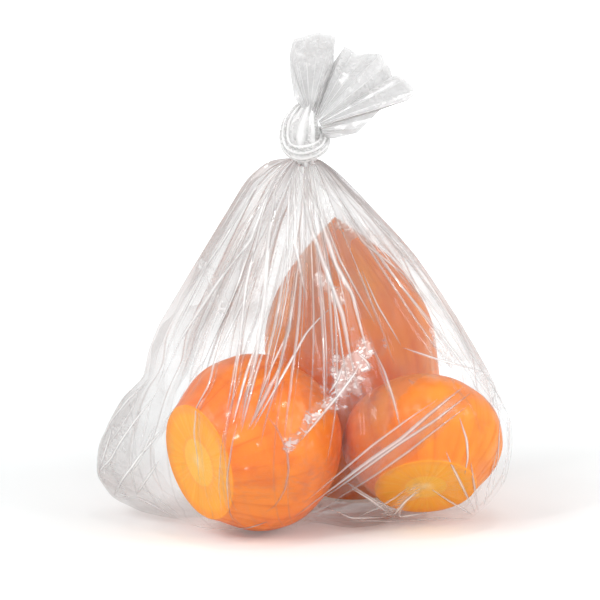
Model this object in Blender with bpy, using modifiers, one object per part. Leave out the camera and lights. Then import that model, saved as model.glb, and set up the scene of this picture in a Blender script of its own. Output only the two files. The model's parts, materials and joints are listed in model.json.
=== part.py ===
"""A knotted freezer bag of clear film that stands on three pieces of peeled carrot.

The film is one shell: a flat foot, sides that hang from the neck and wrap the carrots, pleats that
run up into the neck, a knot tied in the same film, and the ruffle of the open mouth above it.
The carrots are turned shapes, pushed together until they touch. The film is worked out from them.

Metres, +Z up. The viewer stands at -Y, and +X is the viewer's right. The origin lies on the ground,
under the middle of the model's box.
"""

import math
import random
from dataclasses import dataclass

import bmesh
import bpy
import numpy as np
from mathutils import Vector
from mathutils.bvhtree import BVHTree

MM = 0.001

# Film. The real film is 0.04 mm thick. The model's wall is thick enough to be a solid.
FILM_WALL = 0.5 * MM
CONTACT_GAP = 0.3 * MM
FACET_ALLOWANCE = 0.4 * MM
PUSH_ROUNDS = 5

# Carrots: how far apart two of them lie, and how finely they are turned.
CARROT_GAP = 0.6 * MM
CARROT_SIDES = 28
CARROT_STEPS = 15
CARROT_EDGE = 0.03
SLIDE_HALVINGS = 14

# Neck: where the film is gathered, and the hollow that is left through it.
NECK_RADIUS = 3.4 * MM
NECK_HOLLOW = 1.1 * MM
NECK_X = 2.1 * MM
NECK_Y = 3.0 * MM
NECK_HEIGHT = 129.0 * MM
NECK_FLUTES = 0.12

# Knot: a loop of rolled film that faces the viewer, with the mouth drawn through it, and the turn
# that the loop takes around the neck below.
KNOT_LOOP_RADIUS = 5.9 * MM
KNOT_ROPE_RADIUS = 2.6 * MM
KNOT_RISE = 9.5 * MM
KNOT_FORWARD = 2.0 * MM
KNOT_LEAN = math.radians(12.0)
TURN_RADIUS = 4.4 * MM
TURN_ROPE_RADIUS = 2.4 * MM
TURN_RISE = 4.2 * MM
TURN_LEAN = math.radians(22.0)
LOOP_SEGMENTS = 24
ROPE_SEGMENTS = 10

# Ruffle: the mouth of the bag, which fans out above the knot.
RUFFLE_RISE = 17.5 * MM
RUFFLE_FORWARD = 7.0 * MM
RUFFLE_LEAN = math.radians(40.0)
RUFFLE_PLEAT = 3.2 * MM
RUFFLE_MOUTH = 2.4 * MM
RUFFLE_WAVES = 5.5
ROOT_FADE = 5

# The rim of the ruffle, seen from the front: the angle from +X and the length of film at each corner.
RUFFLE_RIM = (
    (112.0, 14.0 * MM),
    (106.0, 20.5 * MM),
    (100.0, 25.5 * MM),
    (81.0, 28.5 * MM),
    (69.0, 28.0 * MM),
    (64.0, 20.0 * MM),
    (60.0, 26.5 * MM),
    (49.0, 27.0 * MM),
    (38.0, 33.5 * MM),
    (27.0, 33.0 * MM),
    (21.0, 35.5 * MM),
    (10.0, 39.0 * MM),
    (1.0, 27.0 * MM),
    (-13.0, 20.0 * MM),
    (-26.0, 18.0 * MM),
)

# Places that the film reaches by its own stiffness and the air in it, away from the carrots.
# The upper ones hang from the neck.
LEFT_EDGE = (
    (-15.8 * MM, 3.0 * MM, NECK_HEIGHT - 1.5 * MM),
    (-26.5 * MM, 3.0 * MM, NECK_HEIGHT - 17.5 * MM),
    (-35.0 * MM, 3.0 * MM, NECK_HEIGHT - 31.5 * MM),
    (-58.0 * MM, 4.0 * MM, 61.5 * MM),
)
LEFT_CORNER = (
    (-71.0 * MM, NECK_Y, 41.0 * MM),
    (-77.5 * MM, NECK_Y, 26.0 * MM),
    (-79.5 * MM, NECK_Y, 18.0 * MM),
    (-75.0 * MM, NECK_Y, 8.5 * MM),
    (-66.0 * MM, 8.0 * MM, 4.0 * MM),
    (-50.0 * MM, 5.0 * MM, 0.0),
    (-46.0 * MM, -14.0 * MM, 0.0),
)
RIGHT_EDGE = (
    (15.8 * MM, 3.0 * MM, NECK_HEIGHT - 6.5 * MM),
    (38.5 * MM, 3.0 * MM, NECK_HEIGHT - 30.0 * MM),
    (49.0 * MM, 3.0 * MM, NECK_HEIGHT - 48.0 * MM),
    (70.0 * MM, 0.0, 55.0 * MM),
)
RIGHT_CORNER = (
    (75.0 * MM, -2.0 * MM, 48.0 * MM),
    (79.5 * MM, -4.1 * MM, 32.5 * MM),
    (76.0 * MM, -4.1 * MM, 15.0 * MM),
    (63.0 * MM, -6.0 * MM, 0.0),
    (58.0 * MM, 18.0 * MM, 0.0),
)

# The film's own form: pleats that hang from the neck, and how far loose film sags between supports.
PLEAT_DEPTH = 4.2 * MM
PLEAT_SHARE = 0.24
DEEP_FOLD = (0.15, 1.0)
FLAT_FOLD = (0.0, 0.12)
SAG_SHARE = 0.16
SAG_MOST = 5.0 * MM
FOOT_RISE = 7.0 * MM
SHOULDER_DROP = 17.0 * MM
HULL_BLURS = 1
HUB_HEIGHT = 40.0 * MM
FOOT_RADIUS = 9.0 * MM
SEED = 11

# Mesh density of the film.
COLUMNS = 64
BODY_ROWS = 22
NECK_ROWS = 5
RUFFLE_ROWS = 7
MERIDIAN_SAMPLES = 121

COLLECTION = "freezer_bag"


@dataclass(frozen=True)
class Carrot:
    """A piece of carrot, turned about its own axis from its cut face to its tip."""

    name: str
    cut_radius: float
    full_radius: float
    shoulder: float
    barrel: float
    tip: float
    tip_power: float
    towards_tip: tuple
    place: tuple
    lift: float


@dataclass(frozen=True)
class Dent:
    """A place where the film folds in: its azimuth and height, its depth, and its spread both ways."""

    azimuth: float
    height: float
    depth: float
    width: float
    tall: float


DENTS = (
    Dent(math.radians(180.0), 52.0 * MM, 5.5 * MM, math.radians(16.0), 6.0 * MM),
    Dent(math.radians(168.0), 27.0 * MM, 5.0 * MM, math.radians(6.0), 11.0 * MM),
    Dent(math.radians(190.0), 33.0 * MM, 4.5 * MM, math.radians(6.0), 10.0 * MM),
    Dent(math.radians(198.0), 12.0 * MM, 5.0 * MM, math.radians(7.0), 9.0 * MM),
    Dent(math.radians(281.0), 4.0 * MM, 8.0 * MM, math.radians(10.0), 12.0 * MM),
    Dent(math.radians(334.0), 8.0 * MM, 4.5 * MM, math.radians(6.0), 12.0 * MM),
    Dent(math.radians(352.0), 52.0 * MM, 4.0 * MM, math.radians(7.0), 10.0 * MM),
    Dent(math.radians(18.0), 30.0 * MM, 4.0 * MM, math.radians(7.0), 16.0 * MM),
)


LEFT = Carrot(
    name="carrot_left",
    cut_radius=21.0 * MM,
    full_radius=31.5 * MM,
    shoulder=23.0 * MM,
    barrel=1.0 * MM,
    tip=31.0 * MM,
    tip_power=0.52,
    towards_tip=(0.826, 0.536, 0.18),
    place=(-15.8 * MM, -23.0 * MM),
    lift=0.0,
)
RIGHT = Carrot(
    name="carrot_right",
    cut_radius=18.0 * MM,
    full_radius=28.5 * MM,
    shoulder=18.0 * MM,
    barrel=1.0 * MM,
    tip=23.0 * MM,
    tip_power=0.55,
    towards_tip=(-0.05, 0.68, 0.73),
    place=(24.0 * MM, -12.0 * MM),
    lift=4.0 * MM,
)
BACK = Carrot(
    name="carrot_back",
    cut_radius=26.0 * MM,
    full_radius=30.5 * MM,
    shoulder=20.0 * MM,
    barrel=28.0 * MM,
    tip=54.0 * MM,
    tip_power=1.0,
    towards_tip=(-0.10, -0.34, 0.935),
    place=(19.0 * MM, 0.0),
    lift=0.0,
)


def clear_scene():
    """Remove every object, so that the script starts from nothing."""
    for thing in list(bpy.data.objects):
        bpy.data.objects.remove(thing, do_unlink=True)


def new_collection(name):
    """A collection for the model, linked to the scene."""
    collection = bpy.data.collections.new(name)
    bpy.context.scene.collection.children.link(collection)
    return collection


def material(name, colour, roughness, alpha=1.0):
    """A Principled material with a plain colour."""
    made = bpy.data.materials.new(name)
    made.use_nodes = True
    shader = made.node_tree.nodes["Principled BSDF"]
    shader.inputs["Base Color"].default_value = (*colour, 1.0)
    shader.inputs["Roughness"].default_value = roughness
    shader.inputs["Metallic"].default_value = 0.0
    shader.inputs["Alpha"].default_value = alpha
    return made


def smooth_step(value, low, high):
    """0 below low, 1 above high, and a smooth rise between."""
    share = np.clip((value - low) / (high - low), 0.0, 1.0)
    return share * share * (3.0 - 2.0 * share)


def carrot_profile(carrot):
    """Radius and distance from the cut face, from the middle of the face to the tip."""
    profile = [(0.0, 0.0), (carrot.cut_radius * (1.0 - CARROT_EDGE), 0.0)]
    profile.append((carrot.cut_radius, carrot.shoulder * CARROT_EDGE))
    shoulder_steps = CARROT_STEPS // 3
    for step in range(1, shoulder_steps + 1):
        share = step / shoulder_steps
        swell = math.sin(share * math.pi / 2)
        radius = carrot.cut_radius + (carrot.full_radius - carrot.cut_radius) * swell
        profile.append((radius, carrot.shoulder * (CARROT_EDGE + (1.0 - CARROT_EDGE) * share)))
    start = carrot.shoulder + carrot.barrel
    tip_steps = CARROT_STEPS - shoulder_steps
    for step in range(tip_steps + 1):
        turn = step / tip_steps * math.pi / 2
        left = 1.0 - math.sin(turn)
        radius = carrot.full_radius * math.sin(left * math.pi / 2) ** carrot.tip_power
        profile.append((radius if step < tip_steps else 0.0, start + carrot.tip * math.sin(turn)))
    return profile


def carrot_rotation(carrot):
    """The turn that lays the carrot's +Z axis along its direction towards the tip."""
    return Vector((0, 0, 1)).rotation_difference(Vector(carrot.towards_tip).normalized())


def resting_height(carrot, profile):
    """How high the cut face's middle lies when the carrot's lowest point is on the film's foot."""
    axis = Vector(carrot.towards_tip).normalized()
    sideways = math.sqrt(1.0 - axis.z**2)
    lowest = min(along * axis.z - radius * sideways for radius, along in profile)
    return FILM_WALL + CONTACT_GAP + carrot.lift - lowest


def make_carrot(carrot, finish, collection):
    """A carrot as a profile with a Screw modifier, standing in its place."""
    profile = carrot_profile(carrot)
    mesh = bpy.data.meshes.new(carrot.name)
    points = [(radius, 0.0, along) for radius, along in reversed(profile)]
    edges = [(i, i + 1) for i in range(len(points) - 1)]
    mesh.from_pydata(points, edges, [])
    thing = bpy.data.objects.new(carrot.name, mesh)
    collection.objects.link(thing)
    turned = thing.modifiers.new("turned", "SCREW")
    turned.angle = math.tau
    turned.steps = CARROT_SIDES
    turned.render_steps = CARROT_SIDES
    turned.use_merge_vertices = True
    turned.merge_threshold = 0.00001
    turned.use_smooth_shade = True
    thing.data.materials.append(finish)
    axis = Vector(carrot.towards_tip).normalized()
    thing.rotation_mode = "QUATERNION"
    thing.rotation_quaternion = carrot_rotation(carrot)
    middle = carrot.shoulder + carrot.barrel / 2
    thing.location = (
        carrot.place[0] - axis.x * middle,
        carrot.place[1] - axis.y * middle,
        resting_height(carrot, profile),
    )
    return thing


def world_mesh(thing):
    """The evaluated mesh of an object as vertices, normals and polygons in world space."""
    bpy.context.view_layer.update()
    graph = bpy.context.evaluated_depsgraph_get()
    evaluated = thing.evaluated_get(graph)
    mesh = evaluated.to_mesh()
    place = thing.matrix_world
    spots = [place @ v.co for v in mesh.vertices]
    normals = [(place.to_3x3() @ v.normal).normalized() for v in mesh.vertices]
    faces = [tuple(p.vertices) for p in mesh.polygons]
    evaluated.to_mesh_clear()
    return spots, normals, faces


def least_distance(spots, shift, tree):
    """The smallest signed distance from shifted points to a closed surface."""
    least = math.inf
    for spot in spots:
        moved = spot + shift
        nearest, normal, _, distance = tree.find_nearest(moved)
        side = 1.0 if (moved - nearest).dot(normal) >= 0 else -1.0
        least = min(least, side * distance)
    return least


def slide_clear(thing, others, direction, reach):
    """Push an object along a direction until it just clears the others."""
    spots, _, faces = world_mesh(thing)
    own = BVHTree.FromPolygons(spots, faces)
    meshes = [world_mesh(other) for other in others]
    trees = [BVHTree.FromPolygons(mesh[0], mesh[2]) for mesh in meshes]
    way = Vector(direction).normalized()
    low, high = 0.0, reach
    for _ in range(SLIDE_HALVINGS):
        shift = way * (low + high) / 2
        gaps = [least_distance(spots, shift, tree) for tree in trees]
        gaps += [least_distance(mesh[0], -shift, own) for mesh in meshes]
        if min(gaps) < CARROT_GAP:
            low = (low + high) / 2
        else:
            high = (low + high) / 2
    thing.location = Vector(thing.location) + way * high
    bpy.context.view_layer.update()


def inflated_tree(spots, normals, faces, by):
    """A search tree of a mesh that has been moved out along its normals."""
    return BVHTree.FromPolygons([s + n * by for s, n in zip(spots, normals)], faces)


def hull_tree(spots):
    """A search tree of the convex hull of the points."""
    mesh = bmesh.new()
    for spot in spots:
        mesh.verts.new(spot)
    bmesh.ops.convex_hull(mesh, input=mesh.verts)
    tree = BVHTree.FromBMesh(mesh)
    mesh.free()
    return tree


def neck_ring(middle, across, back, radius, waves=0.0):
    """The points of one gathered section of the neck, column by column."""
    ring = []
    for column in range(COLUMNS):
        turn = math.tau * column / COLUMNS
        reach = radius * (1.0 - (waves if column % 2 else 0.0))
        ring.append(middle + across * (math.cos(turn) * reach) + back * (math.sin(turn) * reach))
    return ring


def column_angles():
    """The azimuth of each column, counted from +X towards +Y."""
    return np.arange(COLUMNS) * math.tau / COLUMNS


def facet_pairs(row, column):
    """The corners of the two triangles between a row and the next, as (row, column) pairs."""
    beside = (column + 1) % COLUMNS
    low, low_beside = (row, column), (row, beside)
    high, high_beside = (row + 1, column), (row + 1, beside)
    return (low, low_beside, high_beside), (low, high_beside, high)


def push_clear(grid, parts, hub):
    """Move the film's points out from the hub until no facet comes too near a carrot."""
    trees = [BVHTree.FromPolygons(spots, faces) for spots, _, faces in parts]
    wanted = FILM_WALL + CONTACT_GAP + FACET_ALLOWANCE
    for _ in range(PUSH_ROUNDS):
        moves = np.zeros(grid.shape[:2])
        for row in range(len(grid) - 1):
            for column in range(COLUMNS):
                for corners in facet_pairs(row, column):
                    spots = [grid[corner] for corner in corners]
                    probes = [sum(spots) / 3] + [(spots[i] + spots[i - 1]) / 2 for i in range(3)]
                    gap = min(least_distance([Vector(p) for p in probes], Vector(), t) for t in trees)
                    for corner in corners:
                        moves[corner] = max(moves[corner], wanted - gap)
        ways = grid - np.array(hub)
        ways /= np.linalg.norm(ways, axis=2, keepdims=True)
        grid = grid + ways * moves[..., None]
        grid[..., 2] = np.maximum(grid[..., 2], 0.0)
    return grid


def film_field(parts):
    """Distances from the hub to the taut film and to the carrots, and the rays' directions."""
    clearance = FILM_WALL + CONTACT_GAP + FACET_ALLOWANCE
    trees = [inflated_tree(*part, clearance) for part in parts]
    spots = [s + n * clearance for part in parts for s, n in zip(part[0], part[1])]
    spots += [Vector(p) for p in LEFT_EDGE + LEFT_CORNER + RIGHT_EDGE + RIGHT_CORNER]
    top = Vector((NECK_X, NECK_Y, NECK_HEIGHT))
    spots += neck_ring(top, Vector((1, 0, 0)), Vector((0, 1, 0)), NECK_RADIUS)
    taut = hull_tree([Vector((s.x, s.y, max(s.z, 0.0))) for s in spots])
    hub = Vector((NECK_X, NECK_Y, HUB_HEIGHT))
    last = math.pi - math.atan2(NECK_RADIUS, NECK_HEIGHT - HUB_HEIGHT)
    polar = np.linspace(0.0, last, MERIDIAN_SAMPLES)
    azimuth = column_angles()
    ways = np.empty((MERIDIAN_SAMPLES, COLUMNS, 3))
    ways[..., 0] = np.sin(polar)[:, None] * np.cos(azimuth)
    ways[..., 1] = np.sin(polar)[:, None] * np.sin(azimuth)
    ways[..., 2] = -np.cos(polar)[:, None]
    reach = 1.0
    hull = np.zeros((MERIDIAN_SAMPLES, COLUMNS))
    inner = np.zeros((MERIDIAN_SAMPLES, COLUMNS))
    for row in range(MERIDIAN_SAMPLES):
        for column in range(COLUMNS):
            way = Vector(ways[row, column])
            start = hub + way * reach
            _, _, _, distance = taut.ray_cast(start, -way)
            hull[row, column] = reach - distance if distance is not None else 0.0
            hits = [tree.ray_cast(start, -way, reach)[3] for tree in trees]
            inner[row, column] = max([reach - h for h in hits if h is not None], default=0.0)
    return hub, ways, hull, inner


def blurred(field, times):
    """A field on the grid of rows and columns, averaged with its neighbours."""
    for _ in range(times):
        field = (field + 0.5 * np.roll(field, 1, 1) + 0.5 * np.roll(field, -1, 1)) / 2
        padded = np.pad(field, ((1, 1), (0, 0)), "edge")
        field = (field + 0.5 * padded[:-2] + 0.5 * padded[2:]) / 2
    return field


def dented(azimuth, height, across):
    """How far the film is folded in, at each azimuth and height of the grid, away from the foot."""
    depth = np.zeros(height.shape)
    for dent in DENTS:
        away = np.abs((azimuth - dent.azimuth + math.pi) % math.tau - math.pi) / dent.width
        above = (height - dent.height) / dent.tall
        depth += dent.depth * np.exp(-0.5 * (away[None, :] ** 2 + above**2))
    return depth * smooth_step(across, FOOT_RADIUS * 1.5, FOOT_RADIUS * 3)


def body_rings(carrots):
    """The outer sections of the film from the foot up to the neck."""
    parts = [world_mesh(thing) for thing in carrots]
    hub, ways, hull, inner = film_field(parts)
    height = hub.z + hull * ways[..., 2]
    high = smooth_step(height, NECK_HEIGHT - SHOULDER_DROP, NECK_HEIGHT)
    free = smooth_step(height, 0.0, FOOT_RISE) * (1.0 - high)
    reach = hull + free * (blurred(hull, HULL_BLURS) - hull)
    room = np.maximum(reach - inner, 0.0)
    facing = np.sin(column_angles()) ** 2
    reach = reach - free * facing * np.minimum(SAG_SHARE * room, SAG_MOST)
    chance = random.Random(SEED)
    folds = np.array([chance.uniform(*(DEEP_FOLD if c % 2 else FLAT_FOLD)) for c in range(COLUMNS)])
    across = reach * np.hypot(ways[..., 0], ways[..., 1])
    reach = reach - dented(column_angles(), height, across)
    depth = np.minimum(PLEAT_DEPTH, PLEAT_SHARE * across)
    fade = smooth_step(height, FOOT_RISE / 2, FOOT_RISE * 6)
    reach = reach - depth * folds[None, :] * fade
    reach = np.maximum(reach, inner)
    spots = np.array(hub) + ways * reach[..., None]
    spots[..., 2] = np.maximum(spots[..., 2], 0.0)
    rows = []
    for column in range(COLUMNS):
        line = spots[:, column]
        steps = np.linalg.norm(np.diff(line, axis=0), axis=1)
        along = np.concatenate(([0.0], np.cumsum(steps)))
        wanted = np.linspace(FOOT_RADIUS, along[-1], BODY_ROWS)
        rows.append(np.stack([np.interp(wanted, along, line[:, axis]) for axis in range(3)], axis=1))
    grid = push_clear(np.stack(rows, axis=1), parts, hub)
    rings = [[Vector(spot) for spot in row] for row in grid]
    top = Vector((NECK_X, NECK_Y, NECK_HEIGHT))
    rings[-1] = neck_ring(top, Vector((1, 0, 0)), Vector((0, 1, 0)), NECK_RADIUS)
    return rings


def inward(ring, wall):
    """A section moved in towards its own middle by the wall."""
    middle = sum(ring, Vector()) / len(ring)
    return [spot + (middle - spot).normalized() * wall for spot in ring]


def neck_sections():
    """The middles and directions of the sections that pass through the knot."""
    start = Vector((NECK_X, NECK_Y, NECK_HEIGHT))
    end = start + Vector((0.0, -RUFFLE_FORWARD, RUFFLE_RISE))
    out = Vector((math.cos(math.pi / 2 - RUFFLE_LEAN), 0.0, math.sin(math.pi / 2 - RUFFLE_LEAN)))
    sections = []
    for step in range(1, NECK_ROWS + 1):
        share = step / NECK_ROWS
        eased = share * share * (3.0 - 2.0 * share)
        middle = start.lerp(end, share)
        middle.y = start.y + (end.y - start.y) * eased
        way = Vector((0, 0, 1)).lerp(out, eased).normalized()
        sections.append((middle, way))
    return sections


def rim_length(angle):
    """The length of film from the knot to the rim, at an angle seen from the front."""
    angles = [a for a, _ in reversed(RUFFLE_RIM)]
    lengths = [length for _, length in reversed(RUFFLE_RIM)]
    return float(np.interp(angle, angles, lengths))


def ruffle_outline(width, half_gap):
    """The ruffle's section, unrolled: each column's place along the fan, its depth and the way in."""
    radius = min(half_gap, width / 2)
    straight = width - 2 * radius
    quarter = math.pi * radius / 2
    around = 2 * straight + 4 * quarter
    outline = []
    for column in range(COLUMNS):
        run = around * column / COLUMNS
        if run < quarter:
            turn, middle = run / radius, width - radius
        elif run < quarter + straight:
            turn, middle = math.pi / 2, width - radius - (run - quarter)
        elif run < 3 * quarter + straight:
            turn, middle = (run - straight) / radius, radius
        elif run < 3 * quarter + 2 * straight:
            turn, middle = -math.pi / 2, radius + run - 3 * quarter - straight
        else:
            turn, middle = (run - 2 * straight) / radius, width - radius
        along = middle + radius * math.cos(turn)
        outline.append((along, half_gap * math.sin(turn), (-math.cos(turn), -math.sin(turn))))
    return outline


def ruffle_ring(base, root, share, wall):
    """One section of the ruffle: a front and a back layer that share their pleats."""
    first, last = RUFFLE_RIM[0][0], RUFFLE_RIM[-1][0]
    usual = sum(length for _, length in RUFFLE_RIM) / len(RUFFLE_RIM)
    width = math.radians(first - last) * usual * share
    half_gap = RUFFLE_MOUTH * share + NECK_RADIUS * (1.0 - share) ** 2
    ring = []
    for column, (along, depth, (aside, under)) in enumerate(ruffle_outline(width, half_gap)):
        place = 1.0 - (along + aside * wall) / width
        angle = last + (first - last) * place
        wave = math.sin(place * math.tau * RUFFLE_WAVES) * RUFFLE_PLEAT * share**2
        heading = math.radians(angle)
        way = Vector((math.cos(heading), 0.0, math.sin(heading)))
        spot = root + way * (rim_length(angle) * share)
        spot.y += depth + under * wall + wave
        ring.append(spot.lerp(base[column], (1.0 - share) ** ROOT_FADE))
    return ring


def film_rings():
    """The outer sections of the whole film, the wall at each, and the sections of its inside."""
    carrots = [bpy.data.objects[c.name] for c in (LEFT, RIGHT, BACK)]
    outer = body_rings(carrots)
    inner = [inward(ring, FILM_WALL) for ring in outer]
    for row, ring in enumerate(inner):
        for column, spot in enumerate(ring):
            flat = 1.0 - smooth_step(outer[row][column].z, 0.0, FOOT_RISE)
            spot.z = max(spot.z, outer[row][column].z + FILM_WALL * float(flat))
    last = len(outer) - 1
    top = sum(outer[last], Vector()) / COLUMNS
    inner[last] = [top + (spot - top).normalized() * NECK_HOLLOW for spot in outer[last]]
    back = Vector((0, 1, 0))
    for middle, way in neck_sections():
        across = back.cross(way).normalized()
        outer.append(neck_ring(middle, across, back, NECK_RADIUS, NECK_FLUTES))
        inner.append(neck_ring(middle, across, back, NECK_HOLLOW))
    root = neck_sections()[-1][0]
    outer_base, inner_base = outer[-1], inner[-1]
    for step in range(1, RUFFLE_ROWS + 1):
        share = step / RUFFLE_ROWS
        outer.append(ruffle_ring(outer_base, root, share, 0.0))
        inner.append(ruffle_ring(inner_base, root, share, FILM_WALL))
    return outer, inner


def make_film(finish, collection):
    """The bag's film as one closed shell, open only at its mouth."""
    outer, inner = film_rings()
    mesh = bmesh.new()
    outside = [[mesh.verts.new(spot) for spot in ring] for ring in outer]
    inside = [[mesh.verts.new(spot) for spot in ring] for ring in inner]
    for rows, step in ((outside, 1), (inside, -1)):
        for low, high in zip(rows, rows[1:]):
            for column in range(COLUMNS):
                beside = (column + 1) % COLUMNS
                mesh.faces.new((low[column], low[beside], high[beside])[::step])
                mesh.faces.new((low[column], high[beside], high[column])[::step])
    for column in range(COLUMNS):
        beside = (column + 1) % COLUMNS
        mesh.faces.new((outside[-1][column], outside[-1][beside], inside[-1][beside], inside[-1][column]))
    mesh.faces.new(outside[0][::-1])
    mesh.faces.new(inside[0])
    data = bpy.data.meshes.new("film_bag")
    mesh.to_mesh(data)
    mesh.free()
    thing = bpy.data.objects.new("film_bag", data)
    thing.data.materials.append(finish)
    collection.objects.link(thing)
    return thing


def make_loop(name, place, rotation, radius, rope_radius, collection):
    """A ring of rolled film, which is joined to the film and isn't a piece of its own."""
    bpy.ops.mesh.primitive_torus_add(
        location=place,
        rotation=rotation,
        major_radius=radius,
        minor_radius=rope_radius,
        major_segments=LOOP_SEGMENTS,
        minor_segments=ROPE_SEGMENTS,
    )
    loop = bpy.context.object
    loop.name = name
    loop.hide_render = True
    loop.display_type = "WIRE"
    for home in list(loop.users_collection):
        home.objects.unlink(loop)
    collection.objects.link(loop)
    return loop


def make_knot(collection):
    """The two turns of the knot: the loop that faces the viewer and the turn around the neck."""
    upper = Vector((NECK_X, NECK_Y - KNOT_FORWARD, NECK_HEIGHT + KNOT_RISE))
    facing = (math.pi / 2 - KNOT_LEAN, 0.0, 0.0)
    lower = Vector((NECK_X, NECK_Y, NECK_HEIGHT + TURN_RISE))
    around = (0.0, TURN_LEAN, 0.0)
    return [
        make_loop("knot_loop", upper, facing, KNOT_LOOP_RADIUS, KNOT_ROPE_RADIUS, collection),
        make_loop("knot_turn", lower, around, TURN_RADIUS, TURN_ROPE_RADIUS, collection),
    ]


def centre_on_ground(things):
    """The shift that puts the origin on the ground, under the middle of the model's box."""
    spots = [spot for thing in things for spot in world_mesh(thing)[0]]
    low = [min(s[axis] for s in spots) for axis in range(3)]
    high = [max(s[axis] for s in spots) for axis in range(3)]
    return Vector((-(low[0] + high[0]) / 2, -(low[1] + high[1]) / 2, -low[2]))


def build():
    """Build the whole bag."""
    clear_scene()
    bag_parts = new_collection(COLLECTION)
    guides = new_collection(COLLECTION + "_cutters")
    film_finish = material("clear_film", (0.93, 0.93, 0.94), 0.12, alpha=0.35)
    carrot_finish = material("peeled_carrot", (0.86, 0.25, 0.03), 0.45)
    left = make_carrot(LEFT, carrot_finish, bag_parts)
    right = make_carrot(RIGHT, carrot_finish, bag_parts)
    back = make_carrot(BACK, carrot_finish, bag_parts)
    slide_clear(right, [left], (1.0, 0.0, 0.0), LEFT.full_radius + RIGHT.full_radius)
    slide_clear(back, [left, right], (0.0, 1.0, 0.0), BACK.tip + LEFT.full_radius)
    film = make_film(film_finish, bag_parts)
    loops = make_knot(guides)
    for loop in loops:
        joined = film.modifiers.new(loop.name, "BOOLEAN")
        joined.operation = "UNION"
        joined.object = loop
    root = bpy.data.objects.new("freezer_bag_root", None)
    bag_parts.objects.link(root)
    root.location = centre_on_ground([film, left, right, back])
    for thing in (film, left, right, back, *loops):
        thing.parent = root
    bpy.context.view_layer.update()


build()
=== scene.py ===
"""A knotted freezer bag of clear film that stands on three pieces of peeled carrot.

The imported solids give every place. Each carrot is turned again with peeled flats and a grained cut
face, on the axis of its own solid. The film of the body is read from its solid by rays from a hub
inside the bag, drawn tight over the carrots, and pleated towards the neck. Folds that are pressed
into the film are narrow doubled strips that lie on it. The knot and the ruffle are made of the same
film, in their own pieces.

Metres, +Z up. The viewer stands at -Y, and +X is the viewer's right.
"""

import json
import logging
import math
import random
from dataclasses import dataclass, field
from enum import Enum

import bpy
import numpy as np
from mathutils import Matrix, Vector, noise
from mathutils.bvhtree import BVHTree

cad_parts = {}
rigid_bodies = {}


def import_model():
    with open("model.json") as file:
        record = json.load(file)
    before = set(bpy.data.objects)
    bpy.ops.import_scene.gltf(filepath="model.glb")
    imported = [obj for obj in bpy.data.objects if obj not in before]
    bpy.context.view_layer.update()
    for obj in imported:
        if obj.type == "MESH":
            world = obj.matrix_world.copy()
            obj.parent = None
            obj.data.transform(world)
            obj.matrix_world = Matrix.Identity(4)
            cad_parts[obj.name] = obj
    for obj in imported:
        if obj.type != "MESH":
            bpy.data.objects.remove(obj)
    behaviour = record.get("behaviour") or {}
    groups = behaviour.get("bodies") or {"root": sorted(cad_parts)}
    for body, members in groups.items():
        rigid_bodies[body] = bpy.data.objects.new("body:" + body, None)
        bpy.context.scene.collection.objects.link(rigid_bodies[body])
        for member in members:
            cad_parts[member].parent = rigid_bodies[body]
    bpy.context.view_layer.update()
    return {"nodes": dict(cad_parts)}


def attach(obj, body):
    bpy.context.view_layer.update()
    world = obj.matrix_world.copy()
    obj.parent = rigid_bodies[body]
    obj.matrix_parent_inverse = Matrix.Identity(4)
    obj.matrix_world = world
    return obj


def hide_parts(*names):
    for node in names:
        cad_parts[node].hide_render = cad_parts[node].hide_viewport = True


LOG = logging.getLogger("freezer_bag")

MM = 0.001
BODY = "root"
FILM_NODE = "film_bag"
UP = Vector((0.0, 0.0, 1.0))
RIGHTWARD = Vector((1.0, 0.0, 0.0))
LIT_HEIGHT = 80.0 * MM
SCATTERED_FOLDS = 56
# Film that is this far from the carrots, or further, is free of them.
FAR_GAP = 40.0 * MM

# A place in the photograph, counted from its left side and its top.
Place = tuple[float, float]
# A place in the photograph, with a depth and a radius in millimetres.
Station = tuple[float, float, float, float]


class Slot(Enum):
    """The record's material slots."""

    FILM = "film"
    CARROT = "carrot"


class Blend(Enum):
    """The ways in which two values are joined by a Math node."""

    ADD = "ADD"
    MULTIPLY = "MULTIPLY"
    MAXIMUM = "MAXIMUM"
    POWER = "POWER"


def smooth_step(value: np.ndarray, low: float, high: float) -> np.ndarray:
    """A smooth rise from 0 to 1.

    Args:
        value: The values to read.
        low: Where the rise starts.
        high: Where the rise ends.

    Returns:
        The share of the rise at each value.
    """
    share = np.clip((value - low) / (high - low), 0.0, 1.0)
    return share * share * (3.0 - 2.0 * share)


def ridged(spots: np.ndarray, octaves: int = 4) -> np.ndarray:
    """Ridged noise, whose crests are sharp, at each row of an array of points.

    Args:
        spots: Points, one per row, in units of the noise.
        octaves: How many sizes of ridge there are.

    Returns:
        Values of about 0 to 2, high on the crests.
    """
    read = noise.ridged_multi_fractal
    return np.array([read(Vector(spot), 1.0, 2.1, octaves, 1.0, 2.0) for spot in spots])


def soft_noise(spots: np.ndarray) -> np.ndarray:
    """Smooth noise of about -1 to 1 at each row of an array of points."""
    return np.array([noise.noise(Vector(spot)) for spot in spots])


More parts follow.
